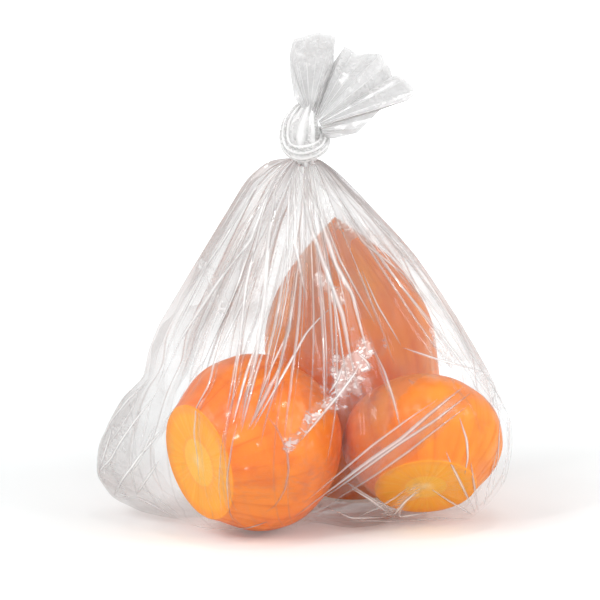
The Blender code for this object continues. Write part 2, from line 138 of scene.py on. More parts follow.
@dataclass(frozen=True)
class Sheet:
    """A mesh under way: points, faces, and one value or vector for each point."""

    spots: np.ndarray
    faces: list[tuple[int, ...]]
    values: dict[str, np.ndarray] = field(default_factory=dict)

    def joined(self, other: "Sheet") -> "Sheet":
        """Both meshes as one.

        Args:
            other: The mesh to add, with the same named values.

        Returns:
            The joined mesh.
        """
        shift = len(self.spots)
        faces = self.faces + [tuple(i + shift for i in face) for face in other.faces]
        values = {name: np.concatenate((self.values[name], other.values[name])) for name in self.values}
        return Sheet(np.concatenate((self.spots, other.spots)), faces, values)

    def tree(self) -> BVHTree:
        """A search tree of the mesh."""
        return BVHTree.FromPolygons([Vector(s) for s in self.spots], self.faces)

    def built(self, name: str, finish: bpy.types.Material) -> bpy.types.Object:
        """The mesh as an object of the scene, smooth shaded.

        Args:
            name: The piece's name.
            finish: Its material.

        Returns:
            The new object.
        """
        mesh = bpy.data.meshes.new(name)
        mesh.from_pydata([tuple(spot) for spot in self.spots], [], self.faces)
        for label, value in {**self.values, "spot": np.array(self.spots)}.items():
            if value.ndim == 1:
                made = mesh.attributes.new(label, "FLOAT", "POINT")
                made.data.foreach_set("value", value.astype(np.float32))
            else:
                made = mesh.attributes.new(label, "FLOAT_VECTOR", "POINT")
                made.data.foreach_set("vector", value.astype(np.float32).ravel())
        mesh.shade_smooth()
        mesh.materials.append(finish)
        piece = bpy.data.objects.new(name, mesh)
        bpy.context.scene.collection.objects.link(piece)
        LOG.info("%s: %d points, %d faces", name, len(self.spots), len(self.faces))
        return piece


def grid_faces(rows: int, columns: int, closed: bool, start: int = 0) -> list[tuple[int, ...]]:
    """The quads of a grid of points, row by row.

    Args:
        rows: The number of rows.
        columns: The number of points in a row.
        closed: Whether each row runs round to its own start.
        start: The index of the first point.

    Returns:
        One tuple of point indices for each quad.
    """
    faces = []
    for row in range(rows - 1):
        for column in range(columns if closed else columns - 1):
            beside = (column + 1) % columns
            low, high = start + row * columns, start + (row + 1) * columns
            faces.append((low + column, low + beside, high + beside, high + column))
    return faces


@dataclass(frozen=True)
class Viewpoint:
    """The photograph's viewing angle. It turns a place in the photograph into a ray."""

    neck: Vector
    elevation: float = math.radians(12.0)
    distance: float = 4.0
    scale: float = 0.35 * MM
    middle: float = 300.0
    sensor: float = 36.0
    neck_place: tuple[float, float, float] = (2.1 * MM, 3.0 * MM, 129.0 * MM)
    target_height: float = 78.2 * MM

    def target(self) -> Vector:
        """The point that the middle of the photograph shows."""
        shift = self.neck - Vector(self.neck_place)
        return Vector((shift.x, shift.y, self.target_height + shift.z))

    def forward(self) -> Vector:
        """The direction in which the camera looks."""
        return Vector((0.0, math.cos(self.elevation), -math.sin(self.elevation)))

    def upward(self) -> Vector:
        """The direction that the photograph shows as up."""
        return RIGHTWARD.cross(self.forward())

    def place(self) -> Vector:
        """Where the camera stands."""
        return self.target() - self.forward() * self.distance

    def ray(self, across: float, down: float) -> tuple[Vector, Vector]:
        """The ray through a place in the photograph.

        Args:
            across: Distance from the photograph's left side.
            down: Distance from its top.

        Returns:
            The ray's start and its direction.
        """
        spot = self.target() + RIGHTWARD * ((across - self.middle) * self.scale)
        spot += self.upward() * ((self.middle - down) * self.scale)
        start = self.place()
        return start, (spot - start).normalized()

    def lifted(self, across: float, down: float, depth: float) -> Vector:
        """The point that a place in the photograph shows at a depth behind or before the neck.

        Args:
            across: Distance from the photograph's left side.
            down: Distance from its top.
            depth: How far the point lies in front of the neck, towards the viewer.

        Returns:
            The point.
        """
        start, way = self.ray(across, down)
        reach = (self.neck.y - depth - start.y) / way.y
        return start + way * reach

    def shown(self, spots: np.ndarray) -> np.ndarray:
        """Where the photograph shows each point.

        Args:
            spots: The points.

        Returns:
            Distances from the photograph's left side and top.
        """
        seen = spots - np.array(self.place())
        near = self.distance / (seen @ np.array(self.forward())) / self.scale
        across = self.middle + seen[..., 0] * near
        down = self.middle - seen @ np.array(self.upward()) * near
        return np.stack((across, down), axis=-1)

    def build(self) -> None:
        """Make the camera."""
        data = bpy.data.cameras.new("viewpoint")
        data.sensor_width = self.sensor
        data.lens = self.sensor * self.distance / (2.0 * self.middle * self.scale)
        data.clip_end = self.distance * 3.0
        camera = bpy.data.objects.new("viewpoint", data)
        camera.location = self.place()
        camera.rotation_mode = "QUATERNION"
        camera.rotation_quaternion = self.forward().to_track_quat("-Z", "Y")
        bpy.context.scene.collection.objects.link(camera)
        bpy.context.scene.camera = camera


class Nodes:
    """Short ways to add nodes to a tree."""

    def __init__(self, tree: bpy.types.NodeTree) -> None:
        """Keep the tree that the nodes go into."""
        self.tree = tree

    def put(self, socket: bpy.types.NodeSocket, value: object) -> None:
        """Link an output to a socket, or set the socket to a plain value."""
        if isinstance(value, bpy.types.NodeSocket):
            self.tree.links.new(value, socket)
        else:
            socket.default_value = value

    def add(self, kind: str, settings: dict[str, object], **inputs: object) -> bpy.types.Node:
        """Add a node.

        Args:
            kind: The node's type.
            settings: Properties of the node.
            **inputs: Sockets by name, with underscores for spaces, or i0, i1 and so on by place.

        Returns:
            The node.
        """
        node = self.tree.nodes.new(kind)
        for name, value in settings.items():
            setattr(node, name, value)
        for name, value in inputs.items():
            by_place = name[0] == "i" and name[1:].isdigit()
            socket = node.inputs[int(name[1:])] if by_place else node.inputs[name.replace("_", " ")]
            self.put(socket, value)
        return node

    def math(self, way: Blend, first: object, second: object, clamp: bool = False) -> bpy.types.NodeSocket:
        """A Math node.

        Args:
            way: How the values are joined.
            first: The first value or output.
            second: The second value or output.
            clamp: Whether the result stays between 0 and 1.

        Returns:
            The result.
        """
        node = self.add("ShaderNodeMath", {"operation": way.value, "use_clamp": clamp}, i0=first, i1=second)
        return node.outputs[0]

    def ramp(self, value: object, low: float, high: float, start: float, end: float) -> bpy.types.NodeSocket:
        """A smooth change from one number to another.

        Args:
            value: The value to read.
            low: The value at which the change starts.
            high: The value at which it ends.
            start: The number up to low.
            end: The number from high.

        Returns:
            The number.
        """
        node = self.add("ShaderNodeMapRange", {"interpolation_type": "SMOOTHSTEP"}, i0=value, i1=low, i2=high)
        node.inputs[3].default_value = start
        node.inputs[4].default_value = end
        return node.outputs[0]

    def colour(self, share: object, first: object, second: object) -> bpy.types.NodeSocket:
        """A mix of two colours.

        Args:
            share: The share of the second.
            first: The first colour, as red, green and blue or as an output.
            second: The second colour.

        Returns:
            The mixed colour.
        """
        node = self.add("ShaderNodeMix", {"data_type": "RGBA"}, i0=share)
        for place, value in ((6, first), (7, second)):
            self.put(node.inputs[place], (*value, 1.0) if isinstance(value, tuple) else value)
        return node.outputs[2]

    def read(self, name: str) -> bpy.types.Node:
        """The node that reads one of the mesh's named values."""
        return self.add("ShaderNodeAttribute", {"attribute_type": "GEOMETRY", "attribute_name": name})

    def scaled(self, vector: object, by: object) -> bpy.types.NodeSocket:
        """A vector times a value."""
        node = self.add("ShaderNodeVectorMath", {"operation": "SCALE"}, i0=vector)
        self.put(node.inputs["Scale"], by)
        return node.outputs[0]

    def added(self, first: object, second: object) -> bpy.types.NodeSocket:
        """The sum of two vectors."""
        return self.add("ShaderNodeVectorMath", {"operation": "ADD"}, i0=first, i1=second).outputs[0]

    def leaning(self, lean: object, share: float) -> bpy.types.NodeSocket:
        """The surface's own normal, tilted.

        Args:
            lean: The tilt, as a vector.
            share: How much of the tilt is used.

        Returns:
            The tilted normal.
        """
        own = self.add("ShaderNodeNewGeometry", {}).outputs["Normal"]
        tilted = self.added(own, self.scaled(lean, share))
        return self.add("ShaderNodeVectorMath", {"operation": "NORMALIZE"}, i0=tilted).outputs[0]

    def facets(self, place: object, scale: float) -> bpy.types.NodeSocket:
        """A vector that is constant within each cell, from -0.5 to 0.5 each way.

        Args:
            place: Where the cells are read.
            scale: How many cells there are in a metre.

        Returns:
            The vector.
        """
        cells = self.add("ShaderNodeTexVoronoi", {"feature": "F1"}, Vector=place, Scale=scale)
        return self.added(cells.outputs["Color"], (-0.5, -0.5, -0.5))

    def long_facets(self, place: object) -> bpy.types.NodeSocket:
        """How film leans on long flat facets, broad ones and narrow ones, that run along Z.

        Args:
            place: Where the facets are read.

        Returns:
            The lean, as a vector.
        """
        shift = self.bends(place)
        broad = self.facets(self.added(self.stretched(place, (1.0, 1.0, 0.10)), shift), 130.0)
        narrow = self.facets(self.added(self.stretched(place, (1.0, 1.0, 0.20)), shift), 330.0)
        return self.added(broad, self.scaled(narrow, 0.25))

    def bends(self, place: object) -> bpy.types.NodeSocket:
        """A small shift that bends the edges of facets."""
        bent = self.add("ShaderNodeTexNoise", {}, Vector=place, Scale=70.0, Detail=1.0)
        return self.scaled(bent.outputs["Color"], 0.0030)

    def cloud(self, place: object, scale: float, detail: float = 3.0) -> bpy.types.NodeSocket:
        """Noise of about 0 to 1 at a place."""
        node = self.add("ShaderNodeTexNoise", {}, Vector=place, Scale=scale, Detail=detail)
        return node.outputs[0]

    def stretched(self, place: object, scale: tuple[float, float, float]) -> bpy.types.NodeSocket:
        """A place, stretched along its axes."""
        return self.add("ShaderNodeMapping", {}, Vector=place, Scale=scale).outputs[0]


def new_material(name: str) -> tuple[bpy.types.Material, Nodes, bpy.types.Node]:
    """A material with its nodes ready.

    Args:
        name: The material's name.

    Returns:
        The material, its nodes and its Principled shader.
    """
    made = bpy.data.materials.new(name)
    made.use_nodes = True
    return made, Nodes(made.node_tree), made.node_tree.nodes["Principled BSDF"]


def film_wrinkles() -> bpy.types.NodeTree:
    """The group that gives film its creases, built once.

    Returns:
        The group. It takes the film's flow, where Z runs away from the knot, and how crumpled the film
        is. It puts out how each facet leans, which small facets get a painted glint, and how cloudy the film
        is, where long facets that lean one way are made cloudier as painted light.
    """
    name = "film_wrinkles"
    if name in bpy.data.node_groups:
        return bpy.data.node_groups[name]
    tree = bpy.data.node_groups.new(name, "ShaderNodeTree")
    sockets = (
        ("Flow", "INPUT", "NodeSocketVector"),
        ("Fineness", "INPUT", "NodeSocketFloat"),
        ("Crumple", "INPUT", "NodeSocketFloat"),
        ("Lean", "OUTPUT", "NodeSocketVector"),
        ("Shine", "OUTPUT", "NodeSocketFloat"),
        ("Cloud", "OUTPUT", "NodeSocketFloat"),
    )
    for label, side, kind in sockets:
        tree.interface.new_socket(label, in_out=side, socket_type=kind)
    nodes = Nodes(tree)
    enter, leave = tree.nodes.new("NodeGroupInput"), tree.nodes.new("NodeGroupOutput")
    fine = nodes.add("ShaderNodeVectorMath", {"operation": "SCALE"}, i0=enter.outputs["Flow"])
    tree.links.new(enter.outputs["Fineness"], fine.inputs["Scale"])
    place, crumple = fine.outputs[0], enter.outputs["Crumple"]
    small = nodes.facets(nodes.added(place, nodes.bends(place)), 1100.0)
    lean = nodes.scaled(small, nodes.math(Blend.MULTIPLY, crumple, 2.0))
    lean = nodes.added(nodes.long_facets(place), lean)
    # Painted glints: small facets that lean one way are made whiter and denser, as if they caught a lamp.
    split = nodes.add("ShaderNodeSeparateXYZ", {}, i0=small)
    turned = nodes.ramp(split.outputs["X"], -0.1, 0.42, 0.0, 1.0)
    painted_glint = nodes.math(Blend.MULTIPLY, turned, crumple, clamp=True)
    cloud = nodes.cloud(nodes.stretched(place, (1.0, 1.0, 0.22)), 95.0, 3.0)
    # Painted light on facets: long facets that lean one way are made cloudier, so that they differ in shade as if lit
    # differently.
    painted_sheen = nodes.add("ShaderNodeSeparateXYZ", {}, i0=nodes.long_facets(place)).outputs["Y"]
    cloud = nodes.math(Blend.ADD, cloud, nodes.math(Blend.MULTIPLY, painted_sheen, 0.32))
    tree.links.new(lean, leave.inputs["Lean"])
    tree.links.new(painted_glint, leave.inputs["Shine"])
    tree.links.new(cloud, leave.inputs["Cloud"])
    return tree


@dataclass(frozen=True)
class FilmFinish:
    """Clear film. It is whiter and denser along its folds, at its edges and where it is crumpled; the white on
    folds and crumples is partly the film's own and partly painted highlight, and some small facets carry a
    painted glint.
    """

    name: str
    density: float = 0.21
    cloudiness: float = 0.26
    rim: float = 0.26
    gather_density: float = 0.0
    fold_density: float = 1.0
    crumple_density: float = 0.26
    painted_glint_density: float = 0.75
    touch_density: float = 0.03
    low_clearness: float = 0.0
    gather: float = 0.0
    fineness: float = 1.0
    lean: float = 0.30
    roughness: float = 0.5
    gloss_roughness: float = 0.09
    passing: float = 0.25
    index: float = 1.25
    gloss_index: float = 1.7
    tint: tuple[float, float, float] = (0.29, 0.245, 0.235)
    # The white of folds, crumples and glinting facets, which is partly painted highlight.
    white: tuple[float, float, float] = (1.0, 0.99, 0.985)

    def made(self) -> bpy.types.Material:
        """The material."""
        finish, nodes, shader = new_material(self.name)
        crest = nodes.read("fold").outputs["Fac"]
        crumple = nodes.read("crumple").outputs["Fac"]
        gap = nodes.read("gap").outputs["Fac"]
        flow = nodes.read("flow").outputs["Vector"]
        wrinkles = nodes.tree.nodes.new("ShaderNodeGroup")
        wrinkles.node_tree = film_wrinkles()
        nodes.put(wrinkles.inputs["Flow"], flow)
        nodes.put(wrinkles.inputs["Crumple"], crumple)
        wrinkles.inputs["Fineness"].default_value = self.fineness
        painted_glint = wrinkles.outputs["Shine"]
        away = nodes.add("ShaderNodeSeparateXYZ", {}, i0=flow).outputs["Z"]
        gathered = nodes.ramp(away, 4.0 * MM, 60.0 * MM, self.gather, 0.0)
        cloud = nodes.ramp(wrinkles.outputs["Cloud"], 0.36, 0.66, 0.0, self.cloudiness)
        facing = nodes.add("ShaderNodeLayerWeight", {}, Blend=0.35).outputs["Facing"]
        rim = nodes.math(Blend.MULTIPLY, nodes.math(Blend.POWER, facing, 2.2), self.rim)
        haze = nodes.math(Blend.ADD, nodes.math(Blend.ADD, cloud, self.density), rim)
        near_knot = nodes.ramp(away, 20.0 * MM, 90.0 * MM, self.gather_density, 0.0)
        haze = nodes.math(Blend.ADD, haze, near_knot)
        free = nodes.ramp(gap, 3.0, 30.0, self.touch_density, 1.0)
        haze = nodes.math(Blend.MULTIPLY, haze, free)
        height = nodes.add("ShaderNodeSeparateXYZ", {}, i0=nodes.read("spot").outputs["Vector"]).outputs["Z"]
        low_down = nodes.ramp(height, 20.0 * MM, 65.0 * MM, 1.0 - self.low_clearness, 1.0)
        haze = nodes.math(Blend.MULTIPLY, haze, low_down)
        haze = nodes.math(Blend.ADD, haze, nodes.math(Blend.MULTIPLY, crumple, self.crumple_density))
        marks = nodes.math(
            Blend.ADD,
            nodes.math(Blend.MULTIPLY, crest, self.fold_density),
            nodes.math(Blend.MULTIPLY, painted_glint, self.painted_glint_density),
        )
        alpha = nodes.math(Blend.ADD, haze, marks, clamp=True)
        # Whiter along folds and crumples, on the glinting facets and near the knot; on folds, crumples and facets
        # this white is partly painted highlight.
        white_and_painted_highlight = nodes.math(Blend.MAXIMUM, crest, nodes.math(Blend.MULTIPLY, crumple, 0.6))
        white_and_painted_highlight = nodes.math(Blend.MAXIMUM, white_and_painted_highlight, painted_glint)
        white_and_painted_highlight = nodes.math(Blend.MAXIMUM, white_and_painted_highlight, gathered, clamp=True)
        nodes.put(shader.inputs["Base Color"], nodes.colour(white_and_painted_highlight, self.tint, self.white))
        nodes.put(shader.inputs["Alpha"], alpha)
        nodes.put(shader.inputs["Normal"], nodes.leaning(wrinkles.outputs["Lean"], self.lean))
        facets = nodes.long_facets(nodes.scaled(flow, self.fineness))
        nodes.put(shader.inputs["Coat Normal"], nodes.leaning(facets, self.lean))
        shader.inputs["Roughness"].default_value = self.roughness
        shader.inputs["Transmission Weight"].default_value = self.passing
        shader.inputs["IOR"].default_value = self.index
        shader.inputs["Coat Weight"].default_value = 1.0
        shader.inputs["Coat IOR"].default_value = self.gloss_index
        shader.inputs["Coat Roughness"].default_value = self.gloss_roughness
        return finish


@dataclass(frozen=True)
class CarrotFinish:
    """Moist peeled carrot: fibres along the body, and rays and a paler core on the cut face."""

    name: str = "peeled_carrot"
    deep: tuple[float, float, float] = (0.68, 0.095, 0.010)
    body: tuple[float, float, float] = (0.86, 0.175, 0.008)
    pale: tuple[float, float, float] = (0.96, 0.27, 0.014)
    face: tuple[float, float, float] = (1.0, 0.37, 0.004)
    core: tuple[float, float, float] = (1.0, 0.50, 0.04)
    heart: tuple[float, float, float] = (1.0, 0.66, 0.26)
    roughness: float = 0.5
    relief_share: float = 0.35
    relief_depth: float = 0.4 * MM
    moisture: float = 0.30
    moist_roughness: float = 0.14
    lean: float = 0.55

    def made(self) -> bpy.types.Material:
        """The material."""
        finish, nodes, shader = new_material(self.name)
        grain = nodes.read("grain").outputs["Vector"]
        core = nodes.read("core").outputs["Fac"]
        fibres = nodes.cloud(nodes.stretched(grain, (9.0, 9.0, 26.0)), 1.0, 5.0)
        patches = nodes.cloud(nodes.stretched(grain, (1.6, 1.6, 40.0)), 1.0, 3.0)
        spot = nodes.read("spot").outputs["Vector"]
        bent = nodes.add("ShaderNodeTexNoise", {}, Vector=spot, Scale=60.0)
        drawn = nodes.added(spot, nodes.scaled(bent.outputs["Color"], 0.008))
        mottled = nodes.cloud(drawn, 110.0, 5.0)
        rings = nodes.cloud(nodes.stretched(grain, (0.8, 0.8, 420.0)), 1.0, 3.0)
        colour = nodes.colour(nodes.ramp(patches, 0.35, 0.68, 0.0, 0.75), self.body, self.pale)
        colour = nodes.colour(nodes.ramp(fibres, 0.50, 0.75, 0.0, 0.5), colour, self.deep)
        colour = nodes.colour(nodes.ramp(mottled, 0.44, 0.68, 0.0, 0.4), colour, self.deep)
        colour = nodes.colour(nodes.ramp(rings, 0.55, 0.70, 0.0, 0.2), colour, self.pale)
        rays = nodes.cloud(nodes.stretched(grain, (14.0, 14.0, 0.0)), 1.0, 3.0)
        face = nodes.colour(nodes.ramp(rays, 0.42, 0.66, 0.0, 0.45), self.face, self.core)
        heart = nodes.ramp(core, 0.40, 0.52, 1.0, 0.0)
        heart_line = nodes.math(Blend.MULTIPLY, nodes.ramp(core, 0.40, 0.47, 0.0, 1.0), heart)
        face = nodes.colour(nodes.math(Blend.MULTIPLY, heart, 0.8), face, self.core)
        face = nodes.colour(heart_line, face, self.pale)
        broken = nodes.ramp(mottled, 0.4, 0.6, 0.3, 1.0)
        middle = nodes.math(Blend.MULTIPLY, nodes.ramp(core, 0.02, 0.24, 0.9, 0.0), broken)
        face = nodes.colour(middle, face, self.heart)
        # A paler rim round the cut face: painted highlight along its edge.
        edge = nodes.ramp(core, 0.80, 0.96, 0.0, 0.6)
        face = nodes.colour(edge, face, self.pale)
        is_face = nodes.ramp(core, 1.01, 1.06, 1.0, 0.0)
        nodes.put(shader.inputs["Base Color"], nodes.colour(is_face, colour, face))
        rough = nodes.ramp(fibres, 0.3, 0.7, self.roughness - 0.10, self.roughness + 0.10)
        nodes.put(shader.inputs["Roughness"], rough)
        relief = nodes.math(Blend.ADD, fibres, nodes.math(Blend.MULTIPLY, rings, 0.6))
        bump = nodes.add("ShaderNodeBump", {}, Height=relief)
        bump.inputs["Strength"].default_value = self.relief_share
        bump.inputs["Distance"].default_value = self.relief_depth
        nodes.put(shader.inputs["Normal"], bump.outputs[0])
        facets = nodes.facets(nodes.stretched(drawn, (1.0, 1.0, 0.35)), 300.0)
        nodes.put(shader.inputs["Coat Normal"], nodes.leaning(facets, self.lean))
        shader.inputs["Coat Weight"].default_value = self.moisture
        shader.inputs["Coat Roughness"].default_value = self.moist_roughness
        return finish


@dataclass(frozen=True)
class Carrot:
    """A peeled piece of carrot, turned about its own axis from its cut face to its tip."""

    name: str
    node: str
    cut_radius: float
    full_radius: float
    shoulder: float
    barrel: float
    tip: float
    tip_power: float
    towards_tip: tuple[float, float, float]
    flats: int = 11
    flat_depth: float = 0.014
    roughing: float = 0.45 * MM
    edge: float = 0.03
    body_core: float = 1.1
    sides: int = 168
    face_rings: int = 14
    steps: int = 96

    def axis(self) -> Vector:
        """The direction from the cut face to the tip."""
        return Vector(self.towards_tip).normalized()

    def face_middle(self, node: bpy.types.Object) -> Vector:
        """The middle of the cut face.

        Args:
            node: The carrot's solid.

        Returns:
            The middle of its points that lie on the face.
        """
        axis = self.axis()
        spots = [vertex.co for vertex in node.data.vertices]
        nearest = min(spot.dot(axis) for spot in spots)
        face = [spot for spot in spots if spot.dot(axis) < nearest + self.shoulder * self.edge / 2]
        low = Vector([min(spot[i] for spot in face) for i in range(3)])
        high = Vector([max(spot[i] for spot in face) for i in range(3)])
        return (low + high) / 2

    def profile(self) -> tuple[np.ndarray, np.ndarray, np.ndarray]:
        """Radius, distance from the cut face and core value, from the face's middle to the tip."""
        face = np.linspace(0.0, 1.0 - self.edge, self.face_rings)
        radius = list(face * self.cut_radius)
        along = [0.0] * len(face)
        core = list(face / (1.0 - self.edge))
        for turn in np.linspace(0.0, 1.0, 4)[1:]:
            angle = turn * math.pi / 2
            radius.append(self.cut_radius * (1.0 - self.edge * (1.0 - math.sin(angle))))
            along.append(self.shoulder * self.edge * (1.0 - math.cos(angle)))
            core.append(1.0 + 0.05 * turn)
        third = self.steps // 3
        for share in np.linspace(0.0, 1.0, third)[1:]:
            swell = math.sin(share * math.pi / 2)
            radius.append(self.cut_radius + (self.full_radius - self.cut_radius) * swell)
            along.append(self.shoulder * (self.edge + (1.0 - self.edge) * share))
            core.append(self.body_core)
        start = self.shoulder + self.barrel
        for share in np.linspace(0.0, 1.0, self.steps - third):
            turn = share * math.pi / 2
            left = max(1.0 - math.sin(turn), 0.0)
            radius.append(self.full_radius * math.sin(left * math.pi / 2) ** self.tip_power)
            along.append(start + self.tip * math.sin(turn))
            core.append(self.body_core)
        return np.array(radius), np.array(along), np.array(core)

    def mesh(self, node: bpy.types.Object) -> Sheet:
        """The carrot's surface.

        Args:
            node: The carrot's solid, which gives its place.

        Returns:
            The mesh, with its grain and its core.
        """
        radius, along, core = self.profile()
        rows = len(radius)
        turn = np.arange(self.sides) * math.tau / self.sides
        body = smooth_step(along, 0.0, self.shoulder * 0.25)
        chance = random.Random(self.name)
        drift = chance.uniform(0.0, math.tau)
        wave = np.abs(np.sin(turn[None, :] * self.flats / 2 + drift + along[:, None] * 9.0))
        cut = self.flat_depth * (1.0 - wave) * body[:, None]
        round_spots = np.stack(
            np.broadcast_arrays(
                np.cos(turn)[None, :] * 2.2, np.sin(turn)[None, :] * 2.2, along[:, None] / (9.0 * MM)
            ),
            axis=-1,
        ).reshape(-1, 3)
        rough = soft_noise(round_spots + drift).reshape(rows, self.sides)
        reach = radius[:, None] * (1.0 - cut)
        thick = np.clip(radius / self.cut_radius, 0, 1)[:, None]
        reach -= self.roughing * (0.5 + 0.5 * rough) * body[:, None] * thick
        axis = self.axis()
        turned = UP.rotation_difference(axis)
        side, other = turned @ RIGHTWARD, turned @ Vector((0.0, 1.0, 0.0))
        middle = self.face_middle(node)
        spots = (
            np.array(middle)
            + np.array(axis) * along[:, None, None]
            + np.array(side) * (reach * np.cos(turn))[..., None]
            + np.array(other) * (reach * np.sin(turn))[..., None]
        )
        grain = np.stack(
            np.broadcast_arrays(np.cos(turn)[None, :], np.sin(turn)[None, :], along[:, None]), axis=-1
        )
        faces = grid_faces(rows, self.sides, closed=True)
        values = {
            "grain": grain.reshape(-1, 3),
            "core": np.repeat(core, self.sides),
        }
        return Sheet(spots.reshape(-1, 3), faces, values)


LEFT = Carrot(
    name="peeled_left",
    node="carrot_left",
    cut_radius=21.0 * MM,
    full_radius=31.5 * MM,
    shoulder=23.0 * MM,
    barrel=1.0 * MM,
    tip=31.0 * MM,
    tip_power=0.52,
    towards_tip=(0.826, 0.536, 0.18),
)
RIGHT = Carrot(
    name="peeled_right",
    node="carrot_right",
    cut_radius=18.0 * MM,
    full_radius=28.5 * MM,
    shoulder=18.0 * MM,
    barrel=1.0 * MM,
    tip=23.0 * MM,
    tip_power=0.55,
    towards_tip=(-0.05, 0.68, 0.73),
)
BACK = Carrot(
    name="peeled_back",
    node="carrot_back",
    cut_radius=26.0 * MM,
    full_radius=30.5 * MM,
    shoulder=20.0 * MM,
    barrel=28.0 * MM,
    tip=54.0 * MM,
    tip_power=1.0,
    towards_tip=(-0.10, -0.34, 0.935),
)


@dataclass(frozen=True)
class Fold:
    """A fold that is pressed into the film: its path in the photograph, its width and its strength."""

    path: tuple[Place, ...]
    width: float = 0.9 * MM
    strength: float = 1.0


@dataclass
class FilmBody:
    """The body of the bag: film that hangs from the neck and wraps the carrots."""

    hub_height: float = 40.0 * MM
    neck_height: float = 129.0 * MM
    neck_radius: float = 3.2 * MM
    foot_radius: float = 8.0 * MM
    lines: int = 88
    between: int = 5
    rows: int = 196
    samples: int = 250
    clearance: float = 0.14 * MM
    slack: float = 1.1 * MM
    ground_clearance: float = 0.05 * MM
    far: float = 200.0 * MM
    swing: float = 0.28
    pleat_depth: float = 1.3 * MM
    crease_depth: float = 0.14 * MM
    crush_depth: float = 0.30 * MM
    flow_radius: float = 30.0 * MM
    chance_crumple: float = 0.2
    # How white the fold lines are: partly the film's own white and partly painted highlight.
    raggedness: float = 0.9
    line_white_and_painted_highlight: float = 0.8
    line_length: float = 90.0 * MM
    seed: int = 5

    def hub(self, neck: Vector) -> Vector:
        """The point inside the bag from which the film is read."""
        return Vector((neck.x, neck.y, self.hub_height))

    def line_places(self, chance: random.Random) -> np.ndarray:
        """The azimuth of every column. Every so many columns there is a fold line.

        Args:
            chance: The source of chance.

        Returns:
            The azimuths, which rise from column to column.
        """
        step = math.tau / self.lines
        places = np.array([i * step + chance.uniform(-0.34, 0.34) * step for i in range(self.lines)])
        ends = np.append(places, places[0] + math.tau)
        share = np.arange(self.between) / self.between
        return (ends[:-1, None] + (ends[1:] - ends[:-1])[:, None] * share[None, :]).ravel()

    def ways(self, chance: random.Random) -> np.ndarray:
        """The directions in which the film is read, from straight down up to the neck.

        Args:
            chance: The source of chance.

        Returns:
            One direction per sample and column.
        """
        start = self.line_places(chance)
        last = math.pi - math.atan2(self.neck_radius, self.neck_height - self.hub_height)
        polar = np.linspace(0.0, last, self.samples)
        swing = np.array([noise.noise(Vector((math.cos(a) * 1.3, math.sin(a) * 1.3, 4.0))) for a in start])
        away = 1.0 - smooth_step(polar, last * 0.3, last)
        azimuth = start[None, :] + away[:, None] * swing[None, :] * self.swing
        ways = np.empty((self.samples, len(start), 3))
        ways[..., 0] = np.sin(polar)[:, None] * np.cos(azimuth)
        ways[..., 1] = np.sin(polar)[:, None] * np.sin(azimuth)
        ways[..., 2] = -np.cos(polar)[:, None]
        return ways

    def reach(self, tree: BVHTree, hub: Vector, ways: np.ndarray, ceiling: float, around: bool) -> np.ndarray:
        """How far a surface lies from the hub, read from outside.

        Args:
            tree: The surface.
            hub: The point that the distances are counted from.
            ways: The directions.
            ceiling: The height under which every ray starts.
            around: Whether the surface lies all round the hub, up to the ceiling.

        Returns:
            The distances. Where a ray misses, it is the ceiling's for a surface all round, and otherwise 0.
        """
        flat = ways.reshape(-1, 3)
        found = np.zeros(len(flat))
        for index, way in enumerate(flat):
            start = self.far if way[2] < 0.5 else min(self.far, (ceiling - hub.z) / way[2])
            heading = Vector(way)
            distance = tree.ray_cast(hub + heading * start, -heading, start)[3]
            if distance is not None:
                found[index] = start - distance
            elif around:
                found[index] = start
        return found.reshape(ways.shape[:2])

    def blurred(self, reach: np.ndarray, passes: int, spread: float) -> np.ndarray:
        """The distances without the solid's own facets and pleats.

        Args:
            reach: The distances.
            passes: How often each is averaged with its neighbours along its column.
            spread: The blur along the rows, in columns.

        Returns:
            The smoothed distances.
        """
        count = reach.shape[1]
        waves = np.fft.rfftfreq(count) * math.tau
        keep = np.exp(-0.5 * (waves * spread) ** 2)
        reach = np.fft.irfft(np.fft.rfft(reach, axis=1) * keep[None, :], count, axis=1)
        for _ in range(passes):
            padded = np.pad(reach, ((1, 1), (0, 0)), "edge")
            reach = 0.5 * reach + 0.25 * (padded[:-2] + padded[2:])
        return reach

    def pleats(self, chance: random.Random, down: np.ndarray, across: np.ndarray) -> np.ndarray:
        """How far each point is pleated out, on flat facets between the fold lines.

        Args:
            chance: The source of chance.
            down: The share of the way from the neck to the foot, at each row and column.
            across: The distance from the axis of the neck, at each row and column.

        Returns:
            The distances.
        """
        count = self.lines * self.between
        heights = np.zeros(self.lines)
        lengths = np.zeros(self.lines)
        for line in range(self.lines):
            heights[line] = (1.0 if line % 2 else -1.0) * chance.uniform(0.25, 1.0)
            lengths[line] = chance.choice((0.35, 0.6, 0.85, 1.15)) * chance.uniform(0.8, 1.2)
        columns = np.arange(count)
        first = columns // self.between
        second = (first + 1) % self.lines
        share = (columns % self.between) / self.between
        depth = self.pleat_depth * (1.0 - np.exp(-across / (8.0 * MM)))
        depth *= 0.17 + 0.83 * np.exp(-np.maximum(across - 9.0 * MM, 0.0) / (17.0 * MM))
        sides = []
        for line in (first, second):
            fade = 1.0 - smooth_step(down / lengths[line][None, :], 0.55, 1.0)
            sides.append(heights[line][None, :] * fade)
        return depth * (sides[0] * (1.0 - share) + sides[1] * share)

